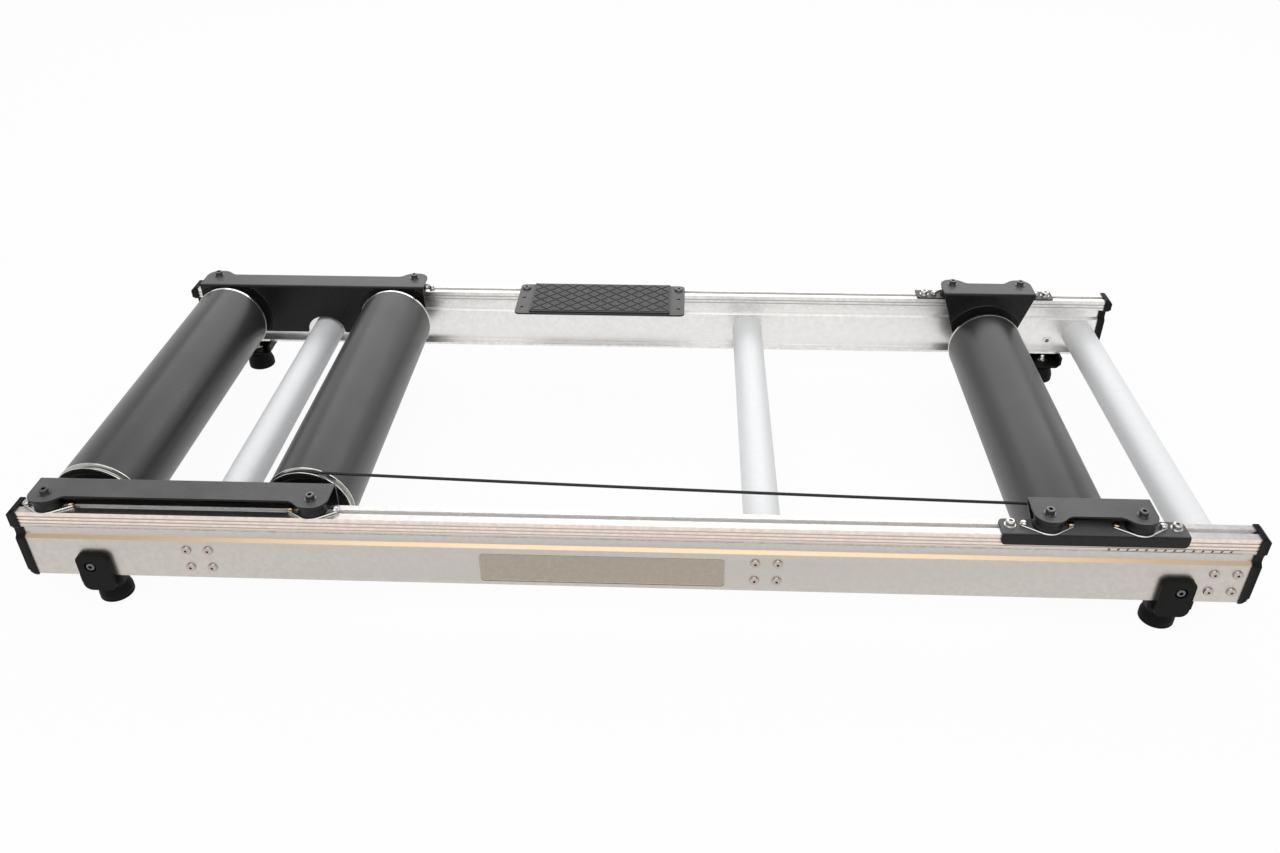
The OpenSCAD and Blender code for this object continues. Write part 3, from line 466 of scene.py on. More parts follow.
def hexagon(flats, thick, edge=0.0006):
    """Hexagon nut with softened edges, standing on z = 0."""
    bm = bmesh.new()
    bmesh.ops.create_circle(bm, segments=6, radius=flats / 2 / math.cos(math.radians(30)))
    bmesh.ops.create_circle(bm, segments=24, radius=THREAD_HOLE)
    fill(bm, bm.edges[:])
    return soften(thicken(bm, thick), edge, 2, 50.0)


def wire_end(bm, segments, radius, place):
    """Circle from which a wire is drawn out."""
    ring = bmesh.ops.create_circle(bm, segments=segments, radius=radius, matrix=place)["verts"]
    return ring + edges_round(ring)


def piece(name, bm, body, slot, *nodes, sharp=30.0, look=None):
    """Makes the finished object: normals, shading, material, body and replaced nodes.

    look is the finish of a piece that doesn't show its slot's own.
    """
    bmesh.ops.remove_doubles(bm, verts=bm.verts[:], dist=JOIN)
    bmesh.ops.recalc_face_normals(bm, faces=bm.faces[:])
    data = bpy.data.meshes.new(name)
    bm.to_mesh(data)
    bm.free()
    data.shade_smooth()
    data.set_sharp_from_angle(angle=math.radians(sharp))
    data.materials.append(finish(look or slot))
    made = bpy.data.objects.new(name, data)
    bpy.context.scene.collection.objects.link(made)
    weighted = made.modifiers.new("even_shading", "WEIGHTED_NORMAL")
    weighted.keep_sharp = True
    weighted.weight = 60
    if nodes:
        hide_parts(*nodes)
    if body:
        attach(made, body)
    return made


# ------------------------------------------------------------------ materials

def new_group(name, inputs, outputs):
    group = bpy.data.node_groups.new(name, "ShaderNodeTree")
    for label, kind, default in inputs:
        socket = group.interface.new_socket(name=label, in_out="INPUT", socket_type=kind)
        socket.default_value = default
    for label, kind in outputs:
        group.interface.new_socket(name=label, in_out="OUTPUT", socket_type=kind)
    return group, group.nodes.new("NodeGroupInput"), group.nodes.new("NodeGroupOutput")


class Tree:
    """Short ways to add and join nodes."""

    def __init__(self, tree):
        self.tree = tree

    def node(self, kind, inputs=(), **settings):
        made = self.tree.nodes.new(kind)
        for key, value in settings.items():
            setattr(made, key, value)
        for key, value in dict(inputs).items():
            if isinstance(value, bpy.types.NodeSocket):
                self.tree.links.new(value, made.inputs[key])
            else:
                made.inputs[key].default_value = value
        return made

    def math(self, operation, a, b=0.0, clamp=False):
        return self.node("ShaderNodeMath", {0: a, 1: b}, operation=operation,
                         use_clamp=clamp).outputs[0]

    def ramp(self, value, low, high, to_low=0.0, to_high=1.0):
        return self.node("ShaderNodeMapRange", {
            "Value": value, "From Min": low, "From Max": high,
            "To Min": to_low, "To Max": to_high}).outputs["Result"]

    def noise(self, vector, scale, detail=3.0, roughness=0.55):
        return self.node("ShaderNodeTexNoise", {
            "Vector": vector, "Scale": scale, "Detail": detail,
            "Roughness": roughness}).outputs["Fac"]

    def stretch(self, vector, scale):
        return self.node("ShaderNodeMapping", {"Vector": vector, "Scale": scale}).outputs[0]

    def object_place(self):
        return self.node("ShaderNodeTexCoord").outputs["Object"]

    def mix(self, factor, a, b):
        made = self.node("ShaderNodeMix", data_type="RGBA")
        for index, value in ((0, factor), (6, a), (7, b)):
            if isinstance(value, bpy.types.NodeSocket):
                self.tree.links.new(value, made.inputs[index])
            else:
                made.inputs[index].default_value = value
        return made.outputs[2]


def rgba(value, gain=1.0):
    return tuple(min(1.0, c * gain) for c in value) + (1.0,)


def grain_group():
    """Fine grain of a surface: even, or drawn out along one axis."""
    name = "surface_grain"
    if name in bpy.data.node_groups:
        return bpy.data.node_groups[name]
    group, given, out = new_group(
        name,
        [("Stretch", "NodeSocketVector", (1.0, 1.0, 1.0)), ("Scale", "NodeSocketFloat", 900.0)],
        [("Value", "NodeSocketFloat"), ("Height", "NodeSocketFloat")])
    t = Tree(group)
    place = t.stretch(t.object_place(), given.outputs["Stretch"])
    fine = t.noise(place, given.outputs["Scale"], 4.0)
    coarse = t.noise(place, t.math("MULTIPLY", given.outputs["Scale"], 0.21), 2.0)
    both = t.math("ADD", t.math("MULTIPLY", fine, 0.65), t.math("MULTIPLY", coarse, 0.35))
    group.links.new(t.ramp(both, 0.3, 0.7), out.inputs["Value"])
    group.links.new(both, out.inputs["Height"])
    return group


def smudge_group():
    """Broad soft clouds and a few faint rubbed streaks, as handling leaves them."""
    name = "handling_marks"
    if name in bpy.data.node_groups:
        return bpy.data.node_groups[name]
    group, given, out = new_group(
        name,
        [("Scale", "NodeSocketFloat", 9.0), ("Streak", "NodeSocketVector", (3.0, 40.0, 40.0))],
        [("Cloud", "NodeSocketFloat"), ("Rub", "NodeSocketFloat")])
    t = Tree(group)
    place = t.object_place()
    cloud = t.noise(place, given.outputs["Scale"], 4.0, 0.6)
    rub = t.noise(t.stretch(place, given.outputs["Streak"]), given.outputs["Scale"], 6.0, 0.7)
    group.links.new(t.ramp(cloud, 0.32, 0.68), out.inputs["Cloud"])
    group.links.new(t.ramp(rub, 0.56, 0.74), out.inputs["Rub"])
    return group


def edge_group():
    """Masks from how the surface curves: of edges for wear and of hollows for painted shade; and a
    mask of upward faces for dusty tops with a painted sheen.
    """
    name = "edge_wear"
    if name in bpy.data.node_groups:
        return bpy.data.node_groups[name]
    group, given, out = new_group(
        name, [("Low", "NodeSocketFloat", 0.53), ("High", "NodeSocketFloat", 0.62)],
        [("Mask", "NodeSocketFloat"), ("Hollow", "NodeSocketFloat"), ("Top", "NodeSocketFloat")])
    t = Tree(group)
    shape = t.node("ShaderNodeNewGeometry")
    convex = shape.outputs["Pointiness"]
    edge = t.node("ShaderNodeMapRange", {
        "Value": convex, "From Min": given.outputs["Low"],
        "From Max": given.outputs["High"]}).outputs["Result"]
    broken = t.ramp(t.noise(t.object_place(), 160.0, 4.0), 0.38, 0.6, 0.25, 1.0)
    group.links.new(t.math("MULTIPLY", edge, broken, True), out.inputs["Mask"])
    # painted shade: mask of hollows, from low pointiness
    group.links.new(t.ramp(convex, 0.47, 0.4), out.inputs["Hollow"])
    # upward faces, broken by noise: dusty tops with a painted sheen from the light above
    up = t.node("ShaderNodeSeparateXYZ", {0: shape.outputs["Normal"]}).outputs["Z"]
    dust_and_sheen = t.ramp(t.noise(t.object_place(), 14.0, 5.0, 0.65), 0.3, 0.7, 0.7, 1.0)
    group.links.new(t.math("MULTIPLY", t.ramp(up, 0.75, 1.0), dust_and_sheen), out.inputs["Top"])
    return group


LENGTHWISE = (0.02, 1.0, 1.0)
CROSSWISE = (1.0, 0.02, 1.0)
EVEN = (1.0, 1.0, 1.0)
# slot: colour property, metallic, roughness, specular, stretch, grain scale, tone, bump,
# brightening of edges, of tops (dusty and with a painted sheen)
RECIPES = {
    "rail_aluminium": ("rail", 1.0, 0.33, 0.5, LENGTHWISE, 2600.0, 0.014, 0.005, 0.1, 0.0),
    "tube_aluminium": ("tube", 0.1, 0.5, 0.4, CROSSWISE, 2600.0, 0.025, 0.02, 0.05, 0.0),
    "raw_aluminium": ("steel", 1.0, 0.45, 0.5, EVEN, 1500.0, 0.12, 0.1, 0.1, 0.0),
    "zinc_steel": ("zinc", 1.0, 0.22, 0.5, EVEN, 1400.0, 0.08, 0.05, 0.1, 0.0),
    "axle_steel": ("steel", 1.0, 0.3, 0.5, EVEN, 1700.0, 0.1, 0.06, 0.1, 0.0),
    "bearing_steel": ("steel", 1.0, 0.28, 0.5, EVEN, 1700.0, 0.1, 0.05, 0.1, 0.0),
    "ring_aluminium": ("ring", 1.0, 0.2, 0.5, CROSSWISE, 2200.0, 0.05, 0.03, 0.05, 0.0),
    "drum_anodised": ("drum", 0.0, 0.33, 0.55, EVEN, 1500.0, 0.12, 0.08, 0.02, 0.0),
    "black_coating": ("coating", 0.0, 0.31, 0.22, EVEN, 1100.0, 0.2, 0.1, 0.04, 0.14),
    "step_coating": ("step", 0.0, 0.42, 0.4, EVEN, 1100.0, 0.15, 0.12, 0.04, 0.12),
    "black_screw": ("blackened", 1.0, 0.27, 0.5, EVEN, 1500.0, 0.15, 0.06, 0.12, 0.0),
    "damper_rubber": ("rubber", 0.0, 0.5, 0.3, EVEN, 900.0, 0.3, 0.15, 0.01, 0.0),
    "foot_rubber": ("rubber", 0.0, 0.55, 0.07, EVEN, 900.0, 0.3, 0.2, 0.01, 0.0),
    "belt": ("rubber", 0.0, 0.4, 0.4, EVEN, 1200.0, 0.2, 0.06, 0.0, 0.0),
    "mat_rubber": ("mat", 0.0, 0.6, 0.3, EVEN, 1000.0, 0.2, 0.25, 0.02, 0.135),
    "cap_plastic": ("plastic", 0.0, 0.42, 0.1, EVEN, 1300.0, 0.25, 0.2, 0.02, 0.0),
    "hub_plastic": ("plastic", 0.0, 0.5, 0.35, EVEN, 1300.0, 0.25, 0.2, 0.02, 0.0),
    "bracket_plastic": ("plastic", 0.0, 0.4, 0.08, EVEN, 1100.0, 0.3, 0.25, 0.02, 0.0),
    "nameplate": ("plate_blank", 1.0, 0.42, 0.5, EVEN, 800.0, 0.16, 0.45, 0.12, 0.0),
    "plated_screw": ("plated", 1.0, 0.24, 0.5, EVEN, 1400.0, 0.1, 0.05, 0.1, 0.0),
    "brass_pin": ("brass", 1.0, 0.25, 0.5, EVEN, 1400.0, 0.08, 0.05, 0.1, 0.0),
    "print": ("marks", 0.0, 0.5, 0.3, EVEN, 2000.0, 0.3, 0.05, 0.0, 0.0),
}

# how strongly painted shade darkens the hollows of each finish
SHADED_HOLLOWS = {"zinc_steel": 0.85, "black_screw": 0.85, "plated_screw": 0.85, "mat_rubber": 0.5}


def finish(slot):
    """Node material of one slot: grain, handling marks and edge wear over its own colour, with
    painted shade in hollows, dusty tops with a painted sheen, and painted light on the rails and
    pulleys.
    """
    name = slot + "_finish"
    if name in bpy.data.materials:
        return bpy.data.materials[name]
    (tone_name, metallic, roughness, specular, stretch, scale, tone, bump, gain,
     dust_and_sheen) = RECIPES[slot]
    looks = sizes("roller_finishes")
    base = tuple(getattr(looks, tone_name))
    material = bpy.data.materials.new(name)
    material.use_nodes = True
    material.diffuse_color = rgba(base)
    tree = material.node_tree
    t = Tree(tree)
    shader = tree.nodes["Principled BSDF"]
    shader.inputs["Metallic"].default_value = metallic
    shader.inputs["Specular IOR Level"].default_value = specular
    grain = t.node("ShaderNodeGroup", node_tree=grain_group())
    grain.inputs["Stretch"].default_value = stretch
    grain.inputs["Scale"].default_value = scale
    marks = t.node("ShaderNodeGroup", node_tree=smudge_group())
    marks.inputs["Scale"].default_value = 7.0
    edge = t.node("ShaderNodeGroup", node_tree=edge_group())
    body = t.mix(grain.outputs["Value"], rgba(base, 1 - tone), rgba(base, 1 + tone))
    worn_and_lit = t.mix(t.math("MULTIPLY", marks.outputs["Cloud"], 0.5 * looks.wear), body,
                 rgba(base, 1 + 1.2 * tone))
    if slot == "rail_aluminium":
        # the rails get painted light: reflections, highlights and shade put into their colour
        worn_and_lit = rail_painted_light(t, worn_and_lit, looks)
        # painted light: the slot's inner faces lose their metal, so the shade inside the slot is
        # lifted
        tree.links.new(t.math("SUBTRACT", 1.0, slot_lightening_mask(t)), shader.inputs["Metallic"])
    if slot == "ring_aluminium":
        # painted shade in the belt groove of the pulleys
        worn_and_lit = pulley_groove_shade(t, worn_and_lit, base)
    # dusty tops with a painted sheen: faces that point up are lightened
    if dust_and_sheen:
        worn_and_lit = t.mix(edge.outputs["Top"], worn_and_lit, rgba(tuple(c + dust_and_sheen for c in base)))
    lit = t.mix(t.math("MULTIPLY", edge.outputs["Mask"], 0.6), worn_and_lit,
                rgba(tuple(c + gain for c in base)))
    # painted shade: hollows are darkened towards black
    if slot in SHADED_HOLLOWS:
        lit = t.mix(t.math("MULTIPLY", edge.outputs["Hollow"], SHADED_HOLLOWS[slot]), lit,
                    rgba(base, 0.12))
    tree.links.new(lit, shader.inputs["Base Color"])
    sway = min(0.12, 2 * tone)
    rough = t.ramp(
        marks.outputs["Cloud"], 0.0, 1.0, roughness * (1 - sway), roughness * (1 + sway))
    rubbed = t.math("MULTIPLY", marks.outputs["Rub"], -sway * looks.wear)
    tree.links.new(t.math("ADD", rough, rubbed, True), shader.inputs["Roughness"])
    height = t.node("ShaderNodeBump", {
        "Height": grain.outputs["Height"], "Strength": bump, "Distance": 0.0004})
    tree.links.new(height.outputs["Normal"], shader.inputs["Normal"])
    return material


def between(t, value, low, high, soft=0.0004):
    """Mask that is 1 where the value lies between low and high."""
    rising = t.ramp(value, low - soft, low + soft)
    return t.math("MULTIPLY", rising, t.ramp(value, high - soft, high + soft, 1.0, 0.0))


def place_on_rail(t):
    """Height above the floor, and depth behind the rail's outer face."""
    place = t.node("ShaderNodeSeparateXYZ", {0: t.object_place()})
    depth = t.math("SUBTRACT", OUT_Y, t.math("ABSOLUTE", place.outputs["Y"]))
    return place.outputs["Z"], depth


def rail_painted_light(t, tone, looks):
    """Painted light on the rails: a warm painted reflection on the chamfer, painted highlights on
    the outer ribs and the top, painted shade in the grooves and under the head, and a painted
    reflection of the floor on the inner faces.
    """
    rail = sizes("roller_rails")
    height, depth = place_on_rail(t)
    hair, margin, shadow_line_h, groove_end = 0.0001, 0.001, 0.0015, 0.0018
    shallow = rail.groove_d * 0.3
    outside = t.ramp(depth, 0.0045, 0.006, 1.0, 0.0)
    # painted reflection: the chamfer below the head is tinted warm
    chamfer = t.math("MULTIPLY", outside, between(
        t, height, FLOOR_GAP + rail.box_h - rail.recess, FLOOR_GAP + rail.box_h))
    tone = t.mix(chamfer, tone, rgba(looks.chamfer_reflection))
    # painted highlight: the ribbed upper part of the head's outer side is brightened
    last = rail.groove_first + 2 * rail.groove_pitch + rail.groove_w
    ribs = t.math("MULTIPLY", outside, between(t, height, RAIL_TOP - last, RAIL_TOP + margin))
    tone = t.mix(ribs, tone, rgba(looks.rib_highlight))
    # painted shadow: a dark line along the lower edge of the head's outer side, where the head
    # shades the face below
    seam = t.math("MULTIPLY", outside, between(
        t, height, RAIL_TOP - rail.head_out, RAIL_TOP - rail.head_out + shadow_line_h))
    tone = t.mix(seam, tone, rgba(looks.rail, 0.5))
    # painted shade: the grooves between the ribs are darkened
    groove = t.math("MULTIPLY", ribs, between(t, depth, shallow, groove_end, hair))
    top = t.ramp(height, RAIL_TOP - 4 * hair, RAIL_TOP - hair)
    tone = t.mix(t.math("MULTIPLY", groove, t.math("SUBTRACT", 1.0, top)), tone,
                 rgba(looks.rib_highlight, 0.62))
    # painted reflection: the inner faces are brightened for the white floor they show
    inside = t.ramp(depth, 0.009, 0.0095)
    tone = t.mix(inside, tone, rgba(looks.rail_reflection_tone))
    # painted shade: darker strips in the grooves on the head's inner side and along the inner
    # bottom edge
    sides = t.math("ADD", between(t, height, RAIL_TOP - rail.head_in, RAIL_TOP - margin),
                   between(t, height, FLOOR_GAP - margin, FLOOR_GAP + margin + hair), True)
    step = between(t, depth, rail.head_w - groove_end, rail.head_w - shallow, hair)
    tone = t.mix(t.math("MULTIPLY", sides, step), tone, rgba(looks.rail_reflection_tone, 0.5))
    # painted highlight: the top face of the head is brightened to near white
    return t.mix(t.math("MULTIPLY", top, 0.9), tone, rgba(looks.rail_reflection_tone, 0.95))


def slot_lightening_mask(t):
    """Mask of the faces inside a rail's slot. They are made matt so that they show the bright
    painted inner tone, which is painted light that lifts the shade in the slot.
    """
    rail = sizes("roller_rails")
    height, depth = place_on_rail(t)
    hair, margin, below_top = 0.0001, 0.0003, 0.0005
    half = rail.channel_w / 2 + margin
    across = between(t, depth, rail.slot_at - half, rail.slot_at + half, hair)
    low = RAIL_TOP - rail.slot_lip - rail.channel_h - margin
    return t.math("MULTIPLY", across, between(t, height, low, RAIL_TOP - below_top, hair))


def pulley_groove_shade(t, tone, base):
    """Painted shade on the floor of the belt's groove, darkening the turned metal there."""
    s = sizes("roller_drums")
    half = -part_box("mid_drum_rings")[0].y
    place = t.node("ShaderNodeSeparateXYZ", {0: t.object_place()})
    toward = t.math("MULTIPLY", place.outputs["Y"], -1.0)
    mask = between(t, toward, half - s.groove_w + s.rim, half - s.rim)
    return t.mix(t.math("MULTIPLY", mask, 0.85), tone, rgba(base, 0.4))


# ------------------------------------------------------------------ the rails

def rail_section(s):
    """Corners of the rail's section: x inwards from the outer face, y up from the bottom."""
    height = RAIL_TOP - FLOOR_GAP
    half = s.groove_w / 2
    soft = 0.00025
    centres = [height - s.groove_first - i * s.groove_pitch for i in range(3)]
    corners = [
        (0, 0, s.edge), (0, s.box_h - s.recess, s.edge), (s.recess, s.box_h, s.edge),
        (s.recess, height - s.head_out, s.edge), (0, height - s.head_out, s.edge)]
    for c in reversed(centres):
        corners += [(0, c - half, soft), (s.groove_d, c - half, soft),
                    (s.groove_d, c + half, soft), (0, c + half, soft)]
    mouth = (s.slot_at - s.slot_w / 2, s.slot_at + s.slot_w / 2)
    channel = (s.slot_at - s.channel_w / 2, s.slot_at + s.channel_w / 2)
    under = height - s.slot_lip
    floor = under - s.channel_h
    corners += [
        (0, height, s.edge), (mouth[0], height, s.edge), (mouth[0], under), (channel[0], under),
        (channel[0], floor), (channel[1], floor), (channel[1], under), (mouth[1], under),
        (mouth[1], height, s.edge), (s.head_w, height, s.edge)]
    for c in centres[:2]:
        corners += [(s.head_w, c + half, soft), (s.head_w - s.groove_d, c + half, soft),
                    (s.head_w - s.groove_d, c - half, soft), (s.head_w, c - half, soft)]
    inner = s.recess + s.neck
    corners += [
        (s.head_w, height - s.head_in, s.edge), (inner, height - s.head_in, s.edge),
        (inner, s.box_h, s.edge), (s.box_w, s.box_h - (s.box_w - inner), s.edge),
        (s.box_w, s.lip, s.edge), (s.head_w, s.lip, s.edge), (s.head_w, 0, s.edge)]
    return corners


def rail_shape(s):
    bm = slab(rail_section(s), 2 * RAIL_END, 3)
    bm.transform(at(-RAIL_END, -OUT_Y, FLOOR_GAP, ALONG))
    bmesh.ops.recalc_face_normals(bm, faces=bm.faces[:])
    return bm


def sink_nameplate(bm):
    """Pocket for the nameplate in the near rail's outer face."""
    low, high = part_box("nameplate")
    gap, corner, any_width = 0.0006, 0.0046, 0.002
    face = max(faces_at(bm, "y", -OUT_Y), key=lambda f: f.calc_area())
    bmesh.ops.inset_individual(bm, faces=[face], thickness=any_width)
    for v in face.verts:
        v.co.y = -OUT_Y
        v.co.x = high.x + gap if v.co.x > 0 else low.x - gap
        v.co.z = high.z + gap if v.co.z > middle("nameplate").z else low.z - gap
    floor = bmesh.ops.extrude_discrete_faces(bm, faces=[face])["faces"][0]
    bmesh.ops.translate(bm, vec=(0, high.y + OUT_Y, 0), verts=floor.verts[:])
    sides = [e for v in floor.verts for e in v.link_edges if e not in floor.edges[:]]
    bevel(bm, sides, corner, 5)


class ROLLERS_OT_rails(bpy.types.Operator):
    """Builds both rails with their ribs, slot and recess"""
    bl_idname = "rollers.rails"
    bl_label = "Rails"

    def execute(self, context):
        s = context.scene.roller_rails
        near = rail_shape(s)
        sink_nameplate(near)
        piece("rail_near_profile", near, "frame", "rail_aluminium", "rail_near")
        far = rail_shape(s)
        far.transform(FAR)
        piece("rail_far_profile", far, "frame", "rail_aluminium", "rail_far")
        return {"FINISHED"}


class ROLLERS_OT_end_caps(bpy.types.Operator):
    """Builds the moulded caps on the rails' ends"""
    bl_idname = "rollers.end_caps"
    bl_label = "End Caps"

    def execute(self, context):
        s = context.scene.roller_rails
        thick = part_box("rail_caps_front")[1].x - RAIL_END
        height = RAIL_TOP - FLOOR_GAP
        m = s.cap_proud
        big, small, shoulder = 0.0032, 0.0012, 0.0014
        inner = s.recess + s.neck + m
        corners = [
            (-m, -m, big), (-m, s.box_h - s.recess, small), (s.recess - m, s.box_h, small),
            (s.recess - m, height - s.head_out - m, small), (-m, height - s.head_out - m, big),
            (-m, height + m, big), (s.head_w + m, height + m, big),
            (s.head_w + m, height - s.head_in - m, big), (inner, height - s.head_in - m, small),
            (inner, s.box_h, small), (s.box_w + m, s.box_h - (s.box_w - inner + m), small),
            (s.box_w + m, s.lip + m, small), (s.head_w + m, s.lip + m, small),
            (s.head_w + m, -m, big)]
        cap = slab(corners, thick - s.cap_step, 5)
        top = faces_at(cap, "z", thick - s.cap_step)
        bmesh.ops.inset_region(cap, faces=top, thickness=shoulder, use_even_offset=True)
        raised = bmesh.ops.extrude_discrete_faces(cap, faces=top)["faces"]
        bmesh.ops.translate(cap, vec=(0, 0, s.cap_step), verts=raised[0].verts[:])
        bmesh.ops.remove_doubles(cap, verts=cap.verts[:], dist=JOIN)
        cut(cap, (0, s.cap_foot - m, thick), (0, -1, 1))
        cut(cap, (0, height + m - s.cap_crown, thick), (0, 1, 1))
        soften(cap, s.cap_edge, 3)
        cap.transform(at(RAIL_END, -OUT_Y, FLOOR_GAP, ALONG))
        front = add(bmesh.new(), cap.copy(), *BOTH)
        rear = add(bmesh.new(), cap, *both(OTHER_END))
        piece("end_caps_front", front, "frame", "cap_plastic", "rail_caps_front")
        piece("end_caps_rear", rear, "frame", "cap_plastic", "rail_caps_rear")
        return {"FINISHED"}


class ROLLERS_OT_scale_marks(bpy.types.Operator):
    """Builds the plain scale printed on the near rail's head"""
    bl_idname = "rollers.scale_marks"
    bl_label = "Scale Marks"

    def execute(self, context):
        s = context.scene.roller_rails
        first, count = 0.5239, 14
        scale_z = FLOOR_GAP + 0.0726
        line_half, line_off = 0.00018, 0.0021
        half, up = s.tick_w / 2, s.tick_h / 2
        face = at(0, -OUT_Y, 0, STAND)
        marks = bmesh.new()
        for i in range(count):
            x = first + i * s.tick_pitch
            tick = slab([(x - half, scale_z - up), (x + half, scale_z - up),
                         (x + half + s.tick_lean, scale_z + up),
                         (x - half + s.tick_lean, scale_z + up)], s.print_t)
            add(marks, tick, face)
        for shift, x0, x1 in ((line_off, 0.522, 0.664), (-line_off, 0.519, 0.66)):
            line = slab(oblong((x1 - x0) / 2, line_half, 0.0, (x0 + x1) / 2, scale_z + shift),
                        s.print_t, 2)
            add(marks, line, face)
        piece("scale_marks", marks, "frame", "rail_aluminium", look="print")
        return {"FINISHED"}


class ROLLERS_OT_nameplate(bpy.types.Operator):
    """Builds the blank nameplate with its raised border"""
    bl_idname = "rollers.nameplate"
    bl_label = "Nameplate"

    def execute(self, context):
        low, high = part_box("nameplate")
        corner, border, fall = 0.004, 0.0012, 0.0003
        thick = high.y - low.y
        plate = slab(oblong((high.x - low.x) / 2, (high.z - low.z) / 2, corner), thick, 6)
        top = faces_at(plate, "z", thick)
        bmesh.ops.inset_region(plate, faces=top, thickness=border, use_even_offset=True)
        bmesh.ops.inset_region(plate, faces=top, thickness=fall, depth=-fall,
                               use_even_offset=True)
        spot = middle("nameplate")
        plate.transform(at(spot.x, high.y, spot.z, STAND))
        piece("nameplate_blank", plate, "frame", "nameplate", "nameplate")
        return {"FINISHED"}


# ------------------------------------------------------------------ crossbars

class ROLLERS_OT_crossbars(bpy.types.Operator):
    """Builds the three round crossbars and the screws at their ends"""
    bl_idname = "rollers.crossbars"
    bl_label = "Crossbars"

    def execute(self, context):
        wall, square, turn_each = 0.0015, 0.0125, 0.41
        head_r, head_h, dome, key = 0.0056, 0.003, 0.0024, 0.0017
        screws = bmesh.new()
        count = 0
        for name in ("crossbar_rear", "crossbar_middle", "crossbar_front"):
            low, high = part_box(name)
            spot, r = (low + high) / 2, (high.x - low.x) / 2
            tube = turned([(r - wall, low.y), (r, low.y), (r, high.y), (r - wall, high.y)], 72)
            tube.transform(at(spot.x, 0, spot.z, STAND))
            piece(name + "_tube", tube, "frame", "tube_aluminium", name)
            for dx in (-square, square):
                for dz in (-square, square):
                    count += 1
                    spin = Matrix.Rotation(count * turn_each, 4, "Z")
                    place = at(spot.x + dx, -OUT_Y, spot.z + dz, STAND @ spin)
                    add(screws, screw_head(head_r, head_h, dome, key), *both(place))
        piece("crossbar_button_screws", screws, "frame", "zinc_steel", "crossbar_screws",
              look="plated_screw")
        return {"FINISHED"}


# ------------------------------------------------------------------ dampers and bails

def damper(height):
    """Round rubber block with a waist between two bands."""
    r, band, waist = DAMPER_R, 0.0035, 0.0015
    rim, crease, fillet = 0.0009, 0.0005, 0.0008
    return turned([
        (0, 0), (r, 0, rim), (r, band, crease), (r - waist, band + waist, fillet),
        (r - waist, height - band - waist, fillet), (r, height - band, crease),
        (r, height, rim), (0, height)], 56)


def bail(s):
    """Wire bent round the damper's outer side and hooked round both pins."""
    wire = s.wire / 2
    gap, neck, wrap = 0.0003, 0.002, math.radians(215)
    round_r, eye_r = DAMPER_R + gap + wire, neck + gap + wire
    reach = s.pin_span / 2
    lean = math.acos((round_r - eye_r) / reach)
    bm = bmesh.new()
    start = wire_end(bm, 12, wire, at(0, -round_r, 0, Matrix.Rotation(QUARTER, 4, "Y")))
    last = bmesh.ops.spin(
        bm, geom=start, cent=(0, 0, 0), axis=(0, 0, 1), angle=QUARTER - lean,
        steps=8)["geom_last"]
    made = bmesh.ops.extrude_edge_only(bm, edges=edges_in(last))["geom"]
    run = reach * math.sin(lean)
    bmesh.ops.translate(
        bm, vec=(run * math.sin(lean), run * math.cos(lean), 0), verts=verts_in(made))
    end = bmesh.ops.spin(
        bm, geom=verts_in(made) + edges_in(made), cent=(reach, 0, 0), axis=(0, 0, 1),
        angle=wrap, steps=20)["geom_last"]
    bmesh.ops.contextual_create(bm, geom=edges_in(end))
    return add(bm, bm.copy(), OTHER_END)


def pin(depth):
    """Pin with a grooved neck and domed head, on the square nut that it is screwed into."""
    shank, neck, head, crown = 0.0025, 0.002, 0.004, 0.0026
    top, nut_half, nut_corner, nut_t, below = 0.0056, 0.0057, 0.0008, 0.004, 0.0001
    bm = turned([
        (0, -depth), (shank, -depth), (shank, 0.0004, 0.0003), (neck, 0.0008, 0.0002),
        (neck, 0.003, 0.0002), (head, 0.0032, 0.0004), (head, 0.0046, 0.0007),
        (crown, top, 0.0007), (0, top)], 20)
    nut = slab(oblong(nut_half, nut_half, nut_corner), nut_t, 2)
    nut.transform(at(0, 0, -depth - below))
    return add(bm, nut)


def damper_spots(side):
    """Places along the rail of a carriage's two near dampers, from its screws' box."""
    low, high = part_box(side + "_carriage_screws")
    washer_r = 0.007
    return [low.x + washer_r, high.x - washer_r]


class ROLLERS_OT_dampers(bpy.types.Operator):
    """Builds the rubber dampers, their wire bails and the pins that hold them"""
    bl_idname = "rollers.dampers"
    bl_label = "Dampers"

    def execute(self, context):
        s = context.scene.roller_carriages
        wire_up, below_rail = 0.0015, 0.0065
        for body, side in (("frame", "rear"), ("front_slider", "front")):
            low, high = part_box(side + "_dampers")
            depth = low.z - RAIL_TOP + below_rail
            rubbers, wires, pins, inner = (bmesh.new() for _ in range(4))
            spots = damper_spots(side)
            for x in spots:
                places = both(at(x, -slot_line(), low.z))
                add(rubbers, damper(high.z - low.z), *places)
                add(wires, bail(s), *raised(places, wire_up))
                for dx in (-s.pin_span / 2, s.pin_span / 2):
                    facing_in = (dx > 0) == (x == spots[0])
                    add(inner if facing_in else pins, pin(depth),
                        *both(at(x + dx, -slot_line(), low.z)))
            piece(side + "_damper_rubbers", rubbers, body, "damper_rubber", side + "_dampers")
            piece(side + "_damper_bails", wires, body, "zinc_steel", side + "_damper_wires",
                  sharp=60.0)
            piece(side + "_outer_bail_pins", pins, body, "zinc_steel", side + "_damper_pins")
            piece(side + "_inner_bail_pins", inner, body, "zinc_steel", side + "_damper_pins",
                  look="brass_pin")
        return {"FINISHED"}


# ------------------------------------------------------------------ carriages

